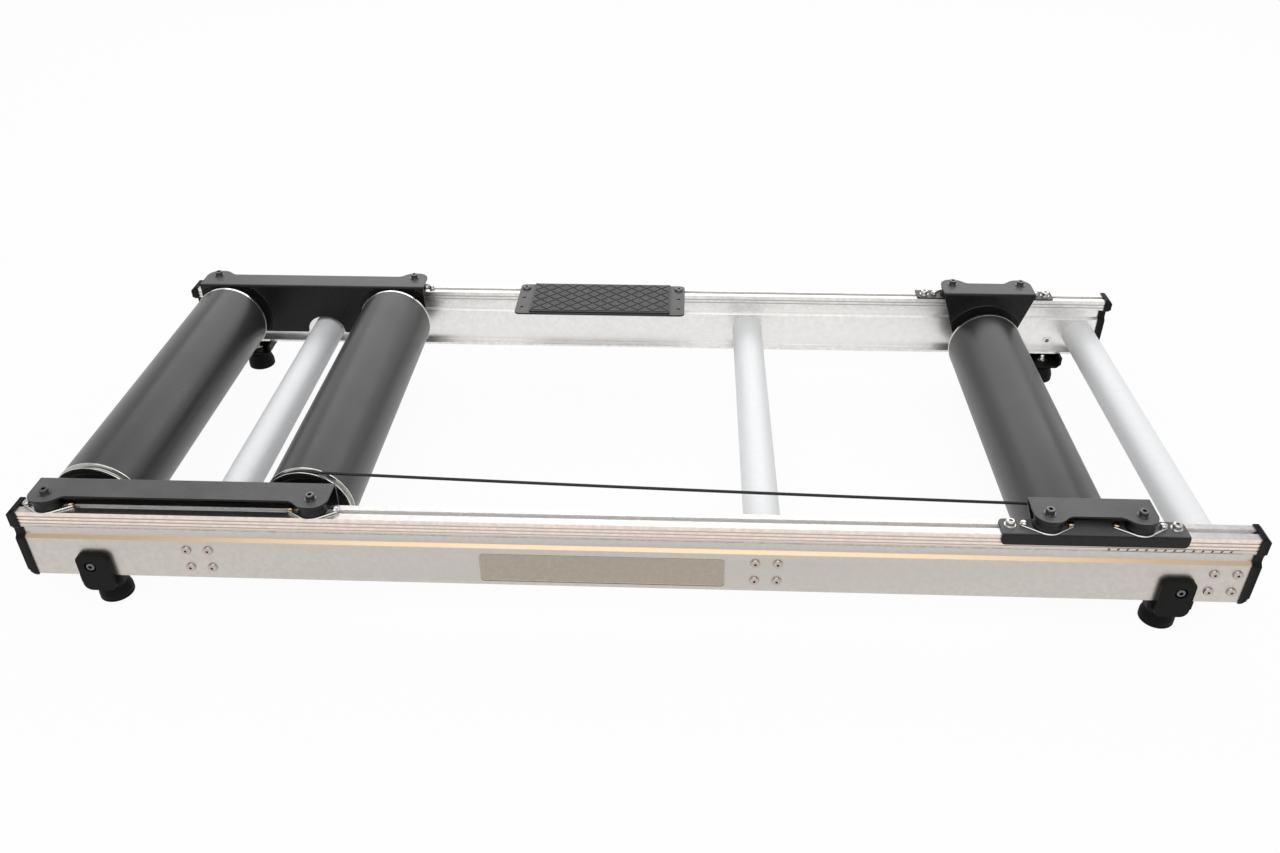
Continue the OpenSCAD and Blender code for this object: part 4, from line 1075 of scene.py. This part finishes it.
def lobed_flange(s, span, half, reach):
    """Corners of the flange: lobes over both dampers, y away from the fold."""
    far = reach + s.lobe
    turn = s.lobe * math.tan(s.lobe_slope / 2)
    crest = s.lobe_half + turn
    run = (s.lobe - s.over) / math.tan(s.lobe_slope)
    right = [(half, s.bend), (half, far, s.lobe), (span / 2 - crest, far, turn),
             (span / 2 - crest - run, reach + s.over, 0.004)]
    return right + [(-c[0],) + c[1:] for c in reversed(right)]


def clipped_ring(s, radius, x, z, planes):
    """Raised ring round a drum's end, standing along -y in the plate's own drawing."""
    inner = radius + s.ring_out
    outer, wall, soft = inner + s.ring_band, 0.0008, 0.0004
    ring = turned([(inner, 0.0), (outer, 0.0), (outer - wall, s.ring_up, soft),
                   (inner + wall, s.ring_up, soft)], 96, 2)
    ring.transform(at(x, 0, z, STAND))
    for point, normal in planes:
        cut(ring, point, normal)
    return ring


def carriage(context, side):
    """Near folded plate of a carriage, with the raised rings on its inner face."""
    s = context.scene.roller_carriages
    low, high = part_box(side + "_carriage_near")
    fold_y = -high.y + s.ring_up
    spots = damper_spots(side)
    span, cx = spots[1] - spots[0], (spots[0] + spots[1]) / 2
    reach, drop = slot_line() - fold_y, low.z - high.z
    margin, slant_margin, soft, inner_soft = 0.0012, 0.0014, 0.003, 0.002
    planes = [((0, 0, -s.bend - margin), (0, 0, 1)), ((0, 0, drop + margin), (0, 0, -1))]
    if side == "rear":
        drums = ("rear_drum_shell", "mid_drum_shell")
        half = span / 2 + s.lobe_half + s.lobe
        bar = middle("crossbar_rear")
        bx, top = bar.x - cx, bar.z - high.z + s.arch
        leg = [(-half, -s.bend), (-half, drop, soft), (bx - s.arch, drop, inner_soft),
               (bx - s.arch, top, s.arch), (bx + s.arch, top, s.arch),
               (bx + s.arch, drop, inner_soft), (half, drop, soft), (half, -s.bend)]
        planes = [((half - margin, 0, 0), (1, 0, 0)), ((margin - half, 0, 0), (-1, 0, 0)),
                  *planes]
    else:
        drums = ("front_drum_shell",)
        half, foot, corner = 0.066, 0.036, 0.006
        leg = [(-half, -s.bend), (-foot, drop + corner, soft), (-foot + corner, drop, soft),
               (foot - corner, drop, soft), (foot, drop + corner, soft), (half, -s.bend)]
        slope = Vector((drop + corner + s.bend, 0, half - foot)).normalized()
        planes += [((k * (half - slant_margin), 0, -s.bend), (-k * slope.x, 0, -slope.z))
                   for k in (-1, 1)]
    rings = bmesh.new()
    for name in drums:
        drum = middle(name)
        add(rings, clipped_ring(s, half_width(name), drum.x - cx, drum.z - high.z, planes))
    plate = folded(lobed_flange(s, span, half, reach), leg, s.plate, s.bend, s.edge)
    add(plate, rings)
    plate.transform(at(cx, -fold_y, high.z, FAR))
    return plate


class ROLLERS_OT_carriages(bpy.types.Operator):
    """Builds the folded plates that carry the drums, and the screws on their lobes"""
    bl_idname = "rollers.carriages"
    bl_label = "Carriages"

    def execute(self, context):
        for side in ("rear", "front"):
            body = side + "_carriage"
            for where, turn in (("near", NEAR), ("far", FAR)):
                plate = carriage(context, side)
                plate.transform(turn)
                piece(f"{side}_plate_{where}", plate, body, "black_coating",
                      f"{side}_carriage_{where}")
            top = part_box(side + "_carriage_near")[1].z
            screws = bmesh.new()
            for i, x in enumerate(damper_spots(side)):
                spot = at(x, -slot_line(), top, Matrix.Rotation(0.5 + i * 0.3, 4, "Z"))
                washered_screw(screws, both(spot), 0.007, 0.0056, 0.0006)
            piece(side + "_lobe_screws", screws, body, "black_screw", side + "_carriage_screws")
        return {"FINISHED"}


class ROLLERS_OT_slider(bpy.types.Operator):
    """Builds the sliding base plates under the front carriage, with their clamp bolts"""
    bl_idname = "rollers.slider"
    bl_label = "Front Slider"

    def execute(self, context):
        s = context.scene.roller_carriages
        low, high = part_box("slider_base_near")
        spot, half, drop = (low + high) / 2, (high.x - low.x) / 2, low.z - high.z
        wide, corner, leg_corner = high.y - low.y, 0.006, 0.005
        flat = [(half, s.base_bend), (half, wide, corner), (-half, wide, corner),
                (-half, s.base_bend)]
        leg = [(-half, -s.base_bend), (-half, drop, leg_corner), (half, drop, leg_corner),
               (half, -s.base_bend)]
        for where, turn in (("near", NEAR), ("far", FAR)):
            base = folded(flat, leg, s.base, s.base_bend, s.edge)
            base.transform(turn @ at(spot.x, low.y, high.z))
            piece(f"slider_plate_{where}", base, "front_slider", "black_coating",
                  f"slider_base_{where}")
        base_top, washer_r, tip = high.z, 0.0065, 0.0004
        low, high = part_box("slider_bolts")
        bolts = bmesh.new()
        for i, x in enumerate((low.x + washer_r, high.x - washer_r)):
            places = both(at(x, -slot_line(), base_top, Matrix.Rotation(0.2 + i * 0.5, 4, "Z")))
            washered_screw(bolts, places, washer_r, 0.0054, 0.0012)
            shank = turned([(0, 0), (SCREW_R, 0, tip), (SCREW_R, base_top - low.z),
                            (0, base_top - low.z)], 20)
            add(bolts, shank, *raised(places, low.z - base_top))
        piece("slider_clamp_bolts", bolts, "front_slider", "zinc_steel", "slider_bolts")
        return {"FINISHED"}


# ------------------------------------------------------------------ drums

class ROLLERS_OT_drums(bpy.types.Operator):
    """Builds the drums' shells, pulleys, rings, hubs, axles and nuts"""
    bl_idname = "rollers.drums"
    bl_label = "Drums"

    def execute(self, context):
        s = context.scene.roller_drums
        for body, carrier in (("rear_drum", "rear_carriage"), ("mid_drum", "rear_carriage"),
                              ("front_drum", "front_carriage")):
            self.drum(s, body)
            self.axle(body, carrier)
        for side, drums in (("rear", ("rear_drum", "mid_drum")), ("front", ("front_drum",))):
            self.nuts(side, drums)
        return {"FINISHED"}

    def drum(self, s, body):
        low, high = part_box(body + "_rings")
        spot = (low + high) / 2
        place = at(spot.x, 0, spot.z, STAND)
        half, rim_r, r = high.y, (high.x - low.x) / 2, half_width(body + "_shell")
        inside = half - s.groove_w
        soft = 0.0003
        shell = turned([(r - s.wall, s.ring_w - half), (r, s.ring_w - half, soft),
                        (r, inside, soft), (r - s.wall, inside)], 128, 2)
        shell.transform(place)
        piece(body + "_tube", shell, body, "drum_anodised", body + "_shell")
        spigot, spigot_l, spigot_wall = r - s.wall - FIT, 0.012, 0.0034
        bore = spigot - spigot_wall
        belt_y, belt_gap, belt_seat, bright_edge = half - s.groove_w / 2, 0.0003, 0.001, 0.001
        deep = rim_r - s.belt_in - s.belt / 2 - belt_gap
        wide = s.belt / 2 + belt_gap
        face_r = rim_r - s.face_w
        face = [(face_r, half, soft), (face_r, half - s.face_d), (bore, half - s.face_d)]
        pulley = turned([
            (bore, inside - spigot_l), (spigot, inside - spigot_l), (spigot, inside),
            (rim_r, inside, soft), (rim_r, inside + s.rim, soft),
            (deep, belt_y - wide, belt_seat), (deep, belt_y + wide, belt_seat),
            (rim_r, half - s.rim, soft), (rim_r, half, soft), *face], 128, 2)
        ring_y = half - s.ring_w
        ring = turned([
            (bore, ring_y - spigot_l), (spigot, ring_y - spigot_l), (spigot, ring_y),
            (rim_r, ring_y, soft), (rim_r, half - bright_edge, soft),
            (rim_r - bright_edge, half, soft), *face], 128, 2)
        rings = add(pulley, ring, UPSIDE_DOWN)
        rings.transform(place)
        piece(body + "_pulley_and_ring", rings, body, "ring_aluminium", body + "_rings")
        self.hubs(s, body, place, half, bore - FIT, face_r)

    def hubs(self, s, body, place, half, hub_r, face_r):
        """Black faces inside both ends of a drum, round the bearings' seats."""
        hub_y, soft = half - s.hub_in, 0.0003
        axle_hole, bearing, bearing_w, crest = 0.0085, 0.01505, 0.009, 0.0003
        lid_y, lid_r = half - 0.0002, face_r - 0.0001
        dish_y, seat = hub_y - 0.002, half - s.face_d + FIT
        hub = turned([
            (axle_hole, hub_y - s.hub_t), (hub_r, hub_y - s.hub_t), (hub_r, seat), (lid_r, seat),
            (lid_r, lid_y, soft), (hub_r - 0.0005, lid_y, soft),
            (hub_r - 0.003, hub_y, soft), (hub_r - 0.0052, dish_y, soft),
            (bearing + 0.0066, dish_y, soft), (bearing + 0.0056, hub_y - crest, soft),
            (bearing, hub_y - crest, soft), (bearing, hub_y - bearing_w),
            (axle_hole, hub_y - bearing_w)], 96, 2)
        both_ends = add(bmesh.new(), hub, place, place @ UPSIDE_DOWN)
        piece(body + "_hub_faces", both_ends, body, "hub_plastic", body + "_hubs")

    def axle(self, body, carrier):
        low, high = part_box(body + "_axle")
        spot, end, r, tip = (low + high) / 2, high.y, 0.005, 0.0008
        collar, hub_y, plate_y, soft = 0.0075, 0.2246, 0.241, 0.0004
        shaft = turned([
            (0, -end), (r - tip, -end), (r, tip - end), (r, -plate_y), (collar, -plate_y),
            (collar, -hub_y, soft), (r, -hub_y), (r, hub_y), (collar, hub_y, soft),
            (collar, plate_y), (r, plate_y), (r, end - tip), (r - tip, end), (0, end)], 40)
        shaft.transform(at(spot.x, 0, spot.z, STAND))
        piece(body + "_shaft", shaft, carrier, "axle_steel", body + "_axle")

    def nuts(self, side, drums):
        plate_y, washer_r, washer_t, flats, thick = 0.2435, 0.01, 0.0016, 0.016, 0.007
        nuts = bmesh.new()
        for i, body in enumerate(drums):
            spot = middle(body + "_axle")
            spin = Matrix.Rotation(0.3 + i * 0.4, 4, "Z")
            places = both(at(spot.x, -plate_y, spot.z, STAND @ spin))
            add(nuts, washer(washer_r, THREAD_HOLE, washer_t), *places)
            add(nuts, hexagon(flats, thick), *raised(places, washer_t))
        piece(side + "_axle_hex_nuts", nuts, side + "_carriage", "zinc_steel",
              side + "_axle_nuts")


class ROLLERS_OT_belt(bpy.types.Operator):
    """Builds the round drive belt in three pieces: at the middle drum, between the drums and at
    the front drum
    """
    bl_idname = "rollers.belt"
    bl_label = "Drive Belt"

    def execute(self, context):
        s = context.scene.roller_drums
        rear, front = middle("mid_drum_rings"), middle("front_drum_rings")
        y = -(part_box("mid_drum_rings")[1].y - s.groove_w / 2)
        r = half_width("mid_drum_rings") - s.belt_in
        run = Vector((front.x - rear.x, 0, front.z - rear.z))
        rise = Vector((-run.z, 0, run.x)).normalized() * r
        start = Vector((rear.x, y, rear.z)) + rise
        side = Matrix.Rotation(QUARTER - math.atan2(run.z, run.x), 4, "Y")
        loop = bmesh.new()
        steps = 72
        last = wire_end(loop, 16, s.belt / 2, at(*start, side))
        last = self.straight(loop, last, run, steps, s.sag)
        last = self.bend(loop, last, (front.x, y, front.z))
        last = self.straight(loop, last, -run, steps, 0.0)
        self.bend(loop, last, (rear.x, y, rear.z))
        seam = 0.00002
        bmesh.ops.remove_doubles(loop, verts=loop.verts[:], dist=seam)
        first, second = -0.06, 0.36
        spans = (
            ("belt_at_mid_drum", "rear_carriage", "frame", None, first, -0.32, -0.1),
            ("belt_between_drums", "frame", "front_slider", first, second, -0.05, 0.35),
            ("belt_at_front_drum", "front_slider", "front_carriage", second, None, 0.38, 0.44))
        for name, a, b, low, high, start_x, end_x in spans:
            part = loop.copy()
            if low is not None:
                cut(part, (low, 0, 0), (-1, 0, 0))
            if high is not None:
                cut(part, (high, 0, 0), (1, 0, 0))
            made = piece(name, part, None, "belt", "drive_belt", sharp=60.0)
            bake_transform(made)
        loop.free()
        return {"FINISHED"}

    def straight(self, bm, geom, run, steps, sag):
        for i in range(steps):
            made = bmesh.ops.extrude_edge_only(bm, edges=edges_in(geom))["geom"]
            t0, t1 = i / steps, (i + 1) / steps
            dip = 4 * sag * (t0 * (1 - t0) - t1 * (1 - t1))
            bmesh.ops.translate(
                bm, vec=run / steps + Vector((0, 0, dip)), verts=verts_in(made))
            geom = verts_in(made) + edges_in(made)
        return geom

    def bend(self, bm, geom, centre):
        return bmesh.ops.spin(
            bm, geom=geom, cent=centre, axis=(0, 1, 0), angle=math.pi, steps=40)["geom_last"]


# ------------------------------------------------------------------ step

class ROLLERS_OT_step(bpy.types.Operator):
    """Builds the step on the far rail with its diamond-patterned mat"""
    bl_idname = "rollers.step"
    bl_label = "Step"

    def execute(self, context):
        s = context.scene.roller_step
        low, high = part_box("step_plate")
        spot = (low + high) / 2
        half_x, half_y = (high.x - low.x) / 2, (high.y - low.y) / 2
        slot_v, hole_x, hole_step = slot_line() - spot.y, 0.115, 0.03
        holes = [(sx * hole_x, slot_v - k * hole_step, s.hole / 2)
                 for sx in (-1, 1) for k in (1, 2)]
        plate = thicken(pierced(oblong(half_x, half_y, s.corner), holes, 8), high.z - low.z)
        soften(plate, s.edge, 3)
        plate.transform(at(spot.x, spot.y, low.z))
        piece("step_rounded_plate", plate, "step", "step_coating", "step_plate")
        self.mat(s)
        screws = bmesh.new()
        for sx in (-1, 1):
            head = screw_head(0.0065, 0.0034, 0.0026, 0.0025, 0.0022, 32)
            add(screws, head, at(spot.x + sx * hole_x, spot.y + slot_v, high.z,
                                 Matrix.Rotation(0.4 * sx, 4, "Z")))
        piece("step_button_screws", screws, "step", "black_screw", "step_screws")
        return {"FINISHED"}

    def mat(self, s):
        low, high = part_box("step_mat")
        spot = (low + high) / 2
        hx, hy = (high.x - low.x) / 2, (high.y - low.y) / 2
        base = high.z - low.z - s.pad_up
        corner, smallest, pad_slope = 0.002, 8e-6, 0.0004
        mat = slab(oblong(hx, hy, corner), base, 3)
        bmesh.ops.inset_region(
            mat, faces=faces_at(mat, "z", base), thickness=MAT_RIM, use_even_offset=True)
        across = Vector((s.diamond_y, s.diamond_x, 0)).normalized()
        rows = int(hx / s.diamond_x + hy / s.diamond_y) + 2
        for mirror in (1, -1):
            normal = Vector((across.x, mirror * across.y, 0))
            for i in range(-rows, rows):
                inner = [f for f in mat.faces if self.on_top(f, base, hx, hy)]
                geom = {g for f in inner for g in (f, *f.edges, *f.verts)}
                bmesh.ops.bisect_plane(
                    mat, geom=list(geom), plane_co=((i + 0.5) * s.diamond_x, 0, 0),
                    plane_no=normal, dist=JOIN)
        inner = [f for f in mat.faces if self.on_top(f, base, hx, hy)]
        pads = [f for f in inner if f.calc_area() >= smallest]
        bmesh.ops.inset_individual(mat, faces=pads, thickness=s.groove / 2, use_even_offset=True)
        bmesh.ops.inset_individual(
            mat, faces=pads, thickness=pad_slope, depth=s.pad_up, use_even_offset=True)
        mat.transform(at(spot.x, spot.y, low.z))
        piece("step_diamond_mat", mat, "step", "mat_rubber", "step_mat")

    def on_top(self, face, base, hx, hy):
        c = face.calc_center_median()
        return (abs(c.z - base) < JOIN and abs(c.x) < hx - MAT_RIM and abs(c.y) < hy - MAT_RIM
                and abs(face.normal.z) > 0.9 and len(face.verts) < 40)


# ------------------------------------------------------------------ feet

class ROLLERS_OT_feet(bpy.types.Operator):
    """Builds the foot brackets, their screws, the rubber feet and studs"""
    bl_idname = "rollers.feet"
    bl_label = "Feet"

    def execute(self, context):
        s = context.scene.roller_feet
        puck = middle("foot_puck_fn")
        foot_x, foot_y = puck.x, -puck.y
        low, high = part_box("foot_brackets")
        spot = at(foot_x, -foot_y, 0)
        self.four("foot_cast_brackets", self.bracket(s, low.z, high.z), spot,
                  "bracket_plastic", "foot_brackets")
        screw_x, screw_z = foot_x + SCREW_ASIDE, FLOOR_GAP + SCREW_UP
        face, wall_in, past = OUT_Y + s.tab_t - s.recess_d, 0.0135, 0.0009
        head = screw_head(0.005, 0.0049, 0.0012, 0.0025, 0.003, 32)
        shank_l, tip_r, tip = face - OUT_Y + wall_in + past, 0.0026, 0.0005
        shank = turned([(0, 0), (tip_r, 0), (SCREW_R, tip), (SCREW_R, shank_l), (0, shank_l)], 24)
        self.four("foot_recessed_screws", add(head, shank, at(0, 0, -shank_l)),
                  at(screw_x, -face, screw_z, STAND), "black_screw", "foot_bracket_screws")
        rivet = washer(0.0062, 0.00305, 0.001, 0.0003)
        self.four("foot_rivet_collars", rivet,
                  at(screw_x, -OUT_Y + wall_in, screw_z, STAND) @ UPSIDE_DOWN,
                  "zinc_steel", "foot_rivet_nuts")
        low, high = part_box("foot_lock_nuts")
        self.four("foot_hex_lock_nuts", hexagon(0.017, high.z - low.z),
                  at(foot_x, -foot_y, low.z), "zinc_steel", "foot_lock_nuts")
        for name in ("rn", "rf", "fn", "ff"):
            self.foot(s, name)
        return {"FINISHED"}

    def four(self, name, part, spot, slot, node):
        """One piece with the part at all four feet."""
        corners = [Matrix.Diagonal((sx, sy, 1, 1)) for sx in (1, -1) for sy in (1, -1)]
        piece(name, add(bmesh.new(), part, *(c @ spot for c in corners)), "frame", slot, node)

    def bracket(self, s, low, high):
        """Tab on the rail's outer face and the open shelf under the rail."""
        inward = 0.02
        up = (high - low) / 2
        tab = slab(oblong(s.tab_w / 2, up, s.tab_corner, 0, low + up), s.tab_t, 6)
        tab = sink(tab, s.tab_t, SCREW_ASIDE, FLOOR_GAP + SCREW_UP, s.recess_r, s.recess_d, 40)
        tab.transform(at(0, -inward, 0, STAND))
        soften(tab, s.edge)
        half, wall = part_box("foot_brackets")[1].x - middle("foot_puck_fn").x, 0.004
        shelf = slab([(-half, -inward), (half, -inward), (half, s.shelf_in - inward),
                      (-half, s.shelf_in - inward)], s.shelf_t)
        for point, normal in (((half - wall, 0, 0), (1, 0, 0)), ((wall - half, 0, 0), (1, 0, 0)),
                              ((0, wall - inward, 0), (0, 1, 0))):
            bmesh.ops.bisect_plane(
                shelf, geom=everything(shelf), plane_co=point, plane_no=normal,
                dist=JOIN / 10)
        rim = []
        for f in shelf.faces:
            c = f.calc_center_median()
            if abs(c.z - s.shelf_t) < JOIN and (abs(c.x) > half - wall or c.y < wall - inward):
                rim.append(f)
        made = bmesh.ops.extrude_face_region(shelf, geom=rim)["geom"]
        bmesh.ops.translate(
            shelf, vec=(0, 0, FLOOR_GAP - low - s.shelf_t), verts=verts_in(made))
        bmesh.ops.delete(shelf, geom=[f for f in rim if f.is_valid], context="FACES_ONLY")
        bmesh.ops.remove_doubles(shelf, verts=shelf.verts[:], dist=JOIN)
        for k in (-1, 1):
            cut(shelf, (k * half, 0, s.shelf_cut), (k, 0, -1))
        soften(shelf, s.edge)
        return add(tab, shelf, at(0, 0, low))

    def foot(self, s, name):
        low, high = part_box("foot_puck_" + name)
        spot, top, r, soft = (low + high) / 2, high.z, (high.x - low.x) / 2, 0.0004
        puck = turned([
            (0, 0.0005), (r - 0.004, 0.0005), (r - 0.003, 0), (r, 0, 0.001),
            (r, 0.0028, soft), (r - 0.0007, 0.0034, 0.0003), (r, 0.004, soft),
            (r, 0.008, 0.001), (s.puck_top_r, top - 0.003, 0.0015),
            (s.puck_top_r, top, 0.001), (0, top)], 64)
        puck.transform(at(spot.x, spot.y, 0))
        piece("rubber_foot_" + name, puck, "foot_" + name, "foot_rubber", "foot_puck_" + name)
        low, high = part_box("foot_stud_" + name)
        r, tip = (high.x - low.x) / 2, 0.001
        stud = turned([(0, low.z), (r, low.z), (r, high.z - tip), (r - tip, high.z),
                       (0, high.z)], 32)
        stud.transform(at(spot.x, spot.y, 0))
        piece("threaded_stud_" + name, stud, "foot_" + name, "zinc_steel", "foot_stud_" + name)


# ------------------------------------------------------------------ nodes kept from the CAD

class ROLLERS_OT_kept_nodes(bpy.types.Operator):
    """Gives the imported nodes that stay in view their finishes"""
    bl_idname = "rollers.kept_nodes"
    bl_label = "Kept Nodes"

    def execute(self, context):
        slots = {p["node"]: p["material_slot"] for p in frame["record"]["subparts"]}
        for name, node in frame["nodes"].items():
            node.data.materials.clear()
            node.data.materials.append(finish(slots[name]))
        return {"FINISHED"}


# ------------------------------------------------------------------ stage

def looking_rays(t):
    """Light Path masks: what the camera sees, and what gloss and glass show."""
    path = t.node("ShaderNodeLightPath")
    gloss = t.math("MAXIMUM", path.outputs["Is Glossy Ray"], path.outputs["Is Transmission Ray"])
    return path.outputs["Is Camera Ray"], gloss


class ROLLERS_OT_stage(bpy.types.Operator):
    """Builds the floor, backdrop, soft lights and the camera"""
    bl_idname = "rollers.stage"
    bl_label = "Stage"

    def execute(self, context):
        s = context.scene.roller_stage
        scene = context.scene
        scene.view_settings.view_transform = "Standard"
        self.world(scene, s)
        self.floor(scene, s)
        self.lamps(scene, s)
        data = bpy.data.cameras.new("roller_camera")
        data.lens = s.lens
        data.sensor_width = 36.0
        data.clip_end = 50.0
        camera = bpy.data.objects.new("roller_camera", data)
        camera.location = s.camera_place
        camera.rotation_euler = s.camera_turn
        scene.collection.objects.link(camera)
        scene.camera = camera
        return {"FINISHED"}

    def world(self, scene, s):
        world = bpy.data.worlds.new("soft_studio")
        world.use_nodes = True
        scene.world = world
        t = Tree(world.node_tree)
        tree = world.node_tree
        even = tree.nodes["Background"]
        even.inputs["Color"].default_value = rgba(s.backdrop)
        even.inputs["Strength"].default_value = s.ambient
        camera, gloss = looking_rays(t)
        way = t.node("ShaderNodeTexCoord").outputs["Generated"]
        height = t.node("ShaderNodeSeparateXYZ", {0: way}).outputs["Z"]
        ceiling = t.math("MULTIPLY", t.ramp(height, 0.2, 0.57), gloss)
        tone = t.mix(ceiling, rgba(s.backdrop), rgba(s.ceiling))
        seen = t.node("ShaderNodeBackground", {"Color": tone, "Strength": 1.0})
        mix = t.node("ShaderNodeMixShader", {0: t.math("MAXIMUM", camera, gloss)})
        tree.links.new(even.outputs[0], mix.inputs[1])
        tree.links.new(seen.outputs[0], mix.inputs[2])
        tree.links.new(mix.outputs[0], tree.nodes["World Output"].inputs[0])

    def floor(self, scene, s):
        bm = bmesh.new()
        bmesh.ops.create_grid(bm, x_segments=2, y_segments=2, size=6.0)
        data = bpy.data.meshes.new("floor")
        bm.to_mesh(data)
        bm.free()
        floor = bpy.data.objects.new("floor", data)
        scene.collection.objects.link(floor)
        material = bpy.data.materials.new("pale_floor")
        material.use_nodes = True
        tree = material.node_tree
        t = Tree(tree)
        shader = tree.nodes["Principled BSDF"]
        shader.inputs["Roughness"].default_value = 0.9
        shader.inputs["Specular IOR Level"].default_value = 0.1
        tone = t.noise(t.object_place(), 3.0)
        tree.links.new(t.mix(t.ramp(tone, 0.3, 0.7), (0.86, 0.86, 0.86, 1), (0.88, 0.88, 0.88, 1)),
                       shader.inputs["Base Color"])
        glow = t.node("ShaderNodeEmission", {"Color": rgba(s.backdrop), "Strength": 1.0})
        camera, gloss = looking_rays(t)
        mix = t.node("ShaderNodeMixShader", {
            0: t.math("MAXIMUM", t.math("MULTIPLY", camera, 1.0 - s.shadow),
                      t.math("MULTIPLY", gloss, 1.0 - s.shine))})
        tree.links.new(shader.outputs[0], mix.inputs[1])
        tree.links.new(glow.outputs[0], mix.inputs[2])
        tree.links.new(mix.outputs[0], tree.nodes["Material Output"].inputs[0])
        data.materials.append(material)

    def lamps(self, scene, s):
        for name, place, size, depth, power in (
                ("lamp_above", (0.0, -1.3, 2.3), 2.8, 2.0, s.above),
                ("lamp_behind", (0.1, 2.4, 1.75), 3.6, 1.3, s.behind)):
            data = bpy.data.lights.new(name, "AREA")
            data.shape = "RECTANGLE"
            data.size = size
            data.size_y = depth
            data.energy = power
            lamp = bpy.data.objects.new(name, data)
            lamp.location = place
            lamp.rotation_euler = (-Vector(place)).to_track_quat("-Z", "Y").to_euler()
            scene.collection.objects.link(lamp)


# ------------------------------------------------------------------ panel and registration

GROUPS = {
    "roller_rails": RailSizes, "roller_carriages": CarriageSizes, "roller_drums": DrumSizes,
    "roller_step": StepSizes, "roller_feet": FootSizes, "roller_finishes": Finishes,
    "roller_stage": StageSettings}
OPERATORS = (
    ROLLERS_OT_stage, ROLLERS_OT_kept_nodes, ROLLERS_OT_rails, ROLLERS_OT_end_caps,
    ROLLERS_OT_scale_marks, ROLLERS_OT_nameplate, ROLLERS_OT_crossbars, ROLLERS_OT_dampers,
    ROLLERS_OT_carriages, ROLLERS_OT_slider, ROLLERS_OT_drums, ROLLERS_OT_belt,
    ROLLERS_OT_step, ROLLERS_OT_feet)


class ROLLERS_PT_panel(bpy.types.Panel):
    """Lists the roller's pieces and their sizes"""
    bl_idname = "ROLLERS_PT_panel"
    bl_label = "Rollers"
    bl_space_type = "VIEW_3D"
    bl_region_type = "UI"
    bl_category = "Rollers"

    def draw(self, context):
        for operator in OPERATORS:
            self.layout.operator(operator.bl_idname)
        for name, group in GROUPS.items():
            box = self.layout.box()
            box.label(text=name.replace("_", " ").capitalize())
            for key in group.__annotations__:
                box.prop(getattr(context.scene, name), key)


def register():
    for cls in (*GROUPS.values(), *OPERATORS, ROLLERS_PT_panel):
        bpy.utils.register_class(cls)
    for name, group in GROUPS.items():
        setattr(bpy.types.Scene, name, bpy.props.PointerProperty(type=group))


def unregister():
    for name in GROUPS:
        delattr(bpy.types.Scene, name)
    for cls in reversed((*GROUPS.values(), *OPERATORS, ROLLERS_PT_panel)):
        bpy.utils.unregister_class(cls)


def main():
    register()
    for operator in OPERATORS:
        name = operator.bl_idname.split(".")[1]
        getattr(bpy.ops.rollers, name)()


if __name__ == "__main__":
    main()
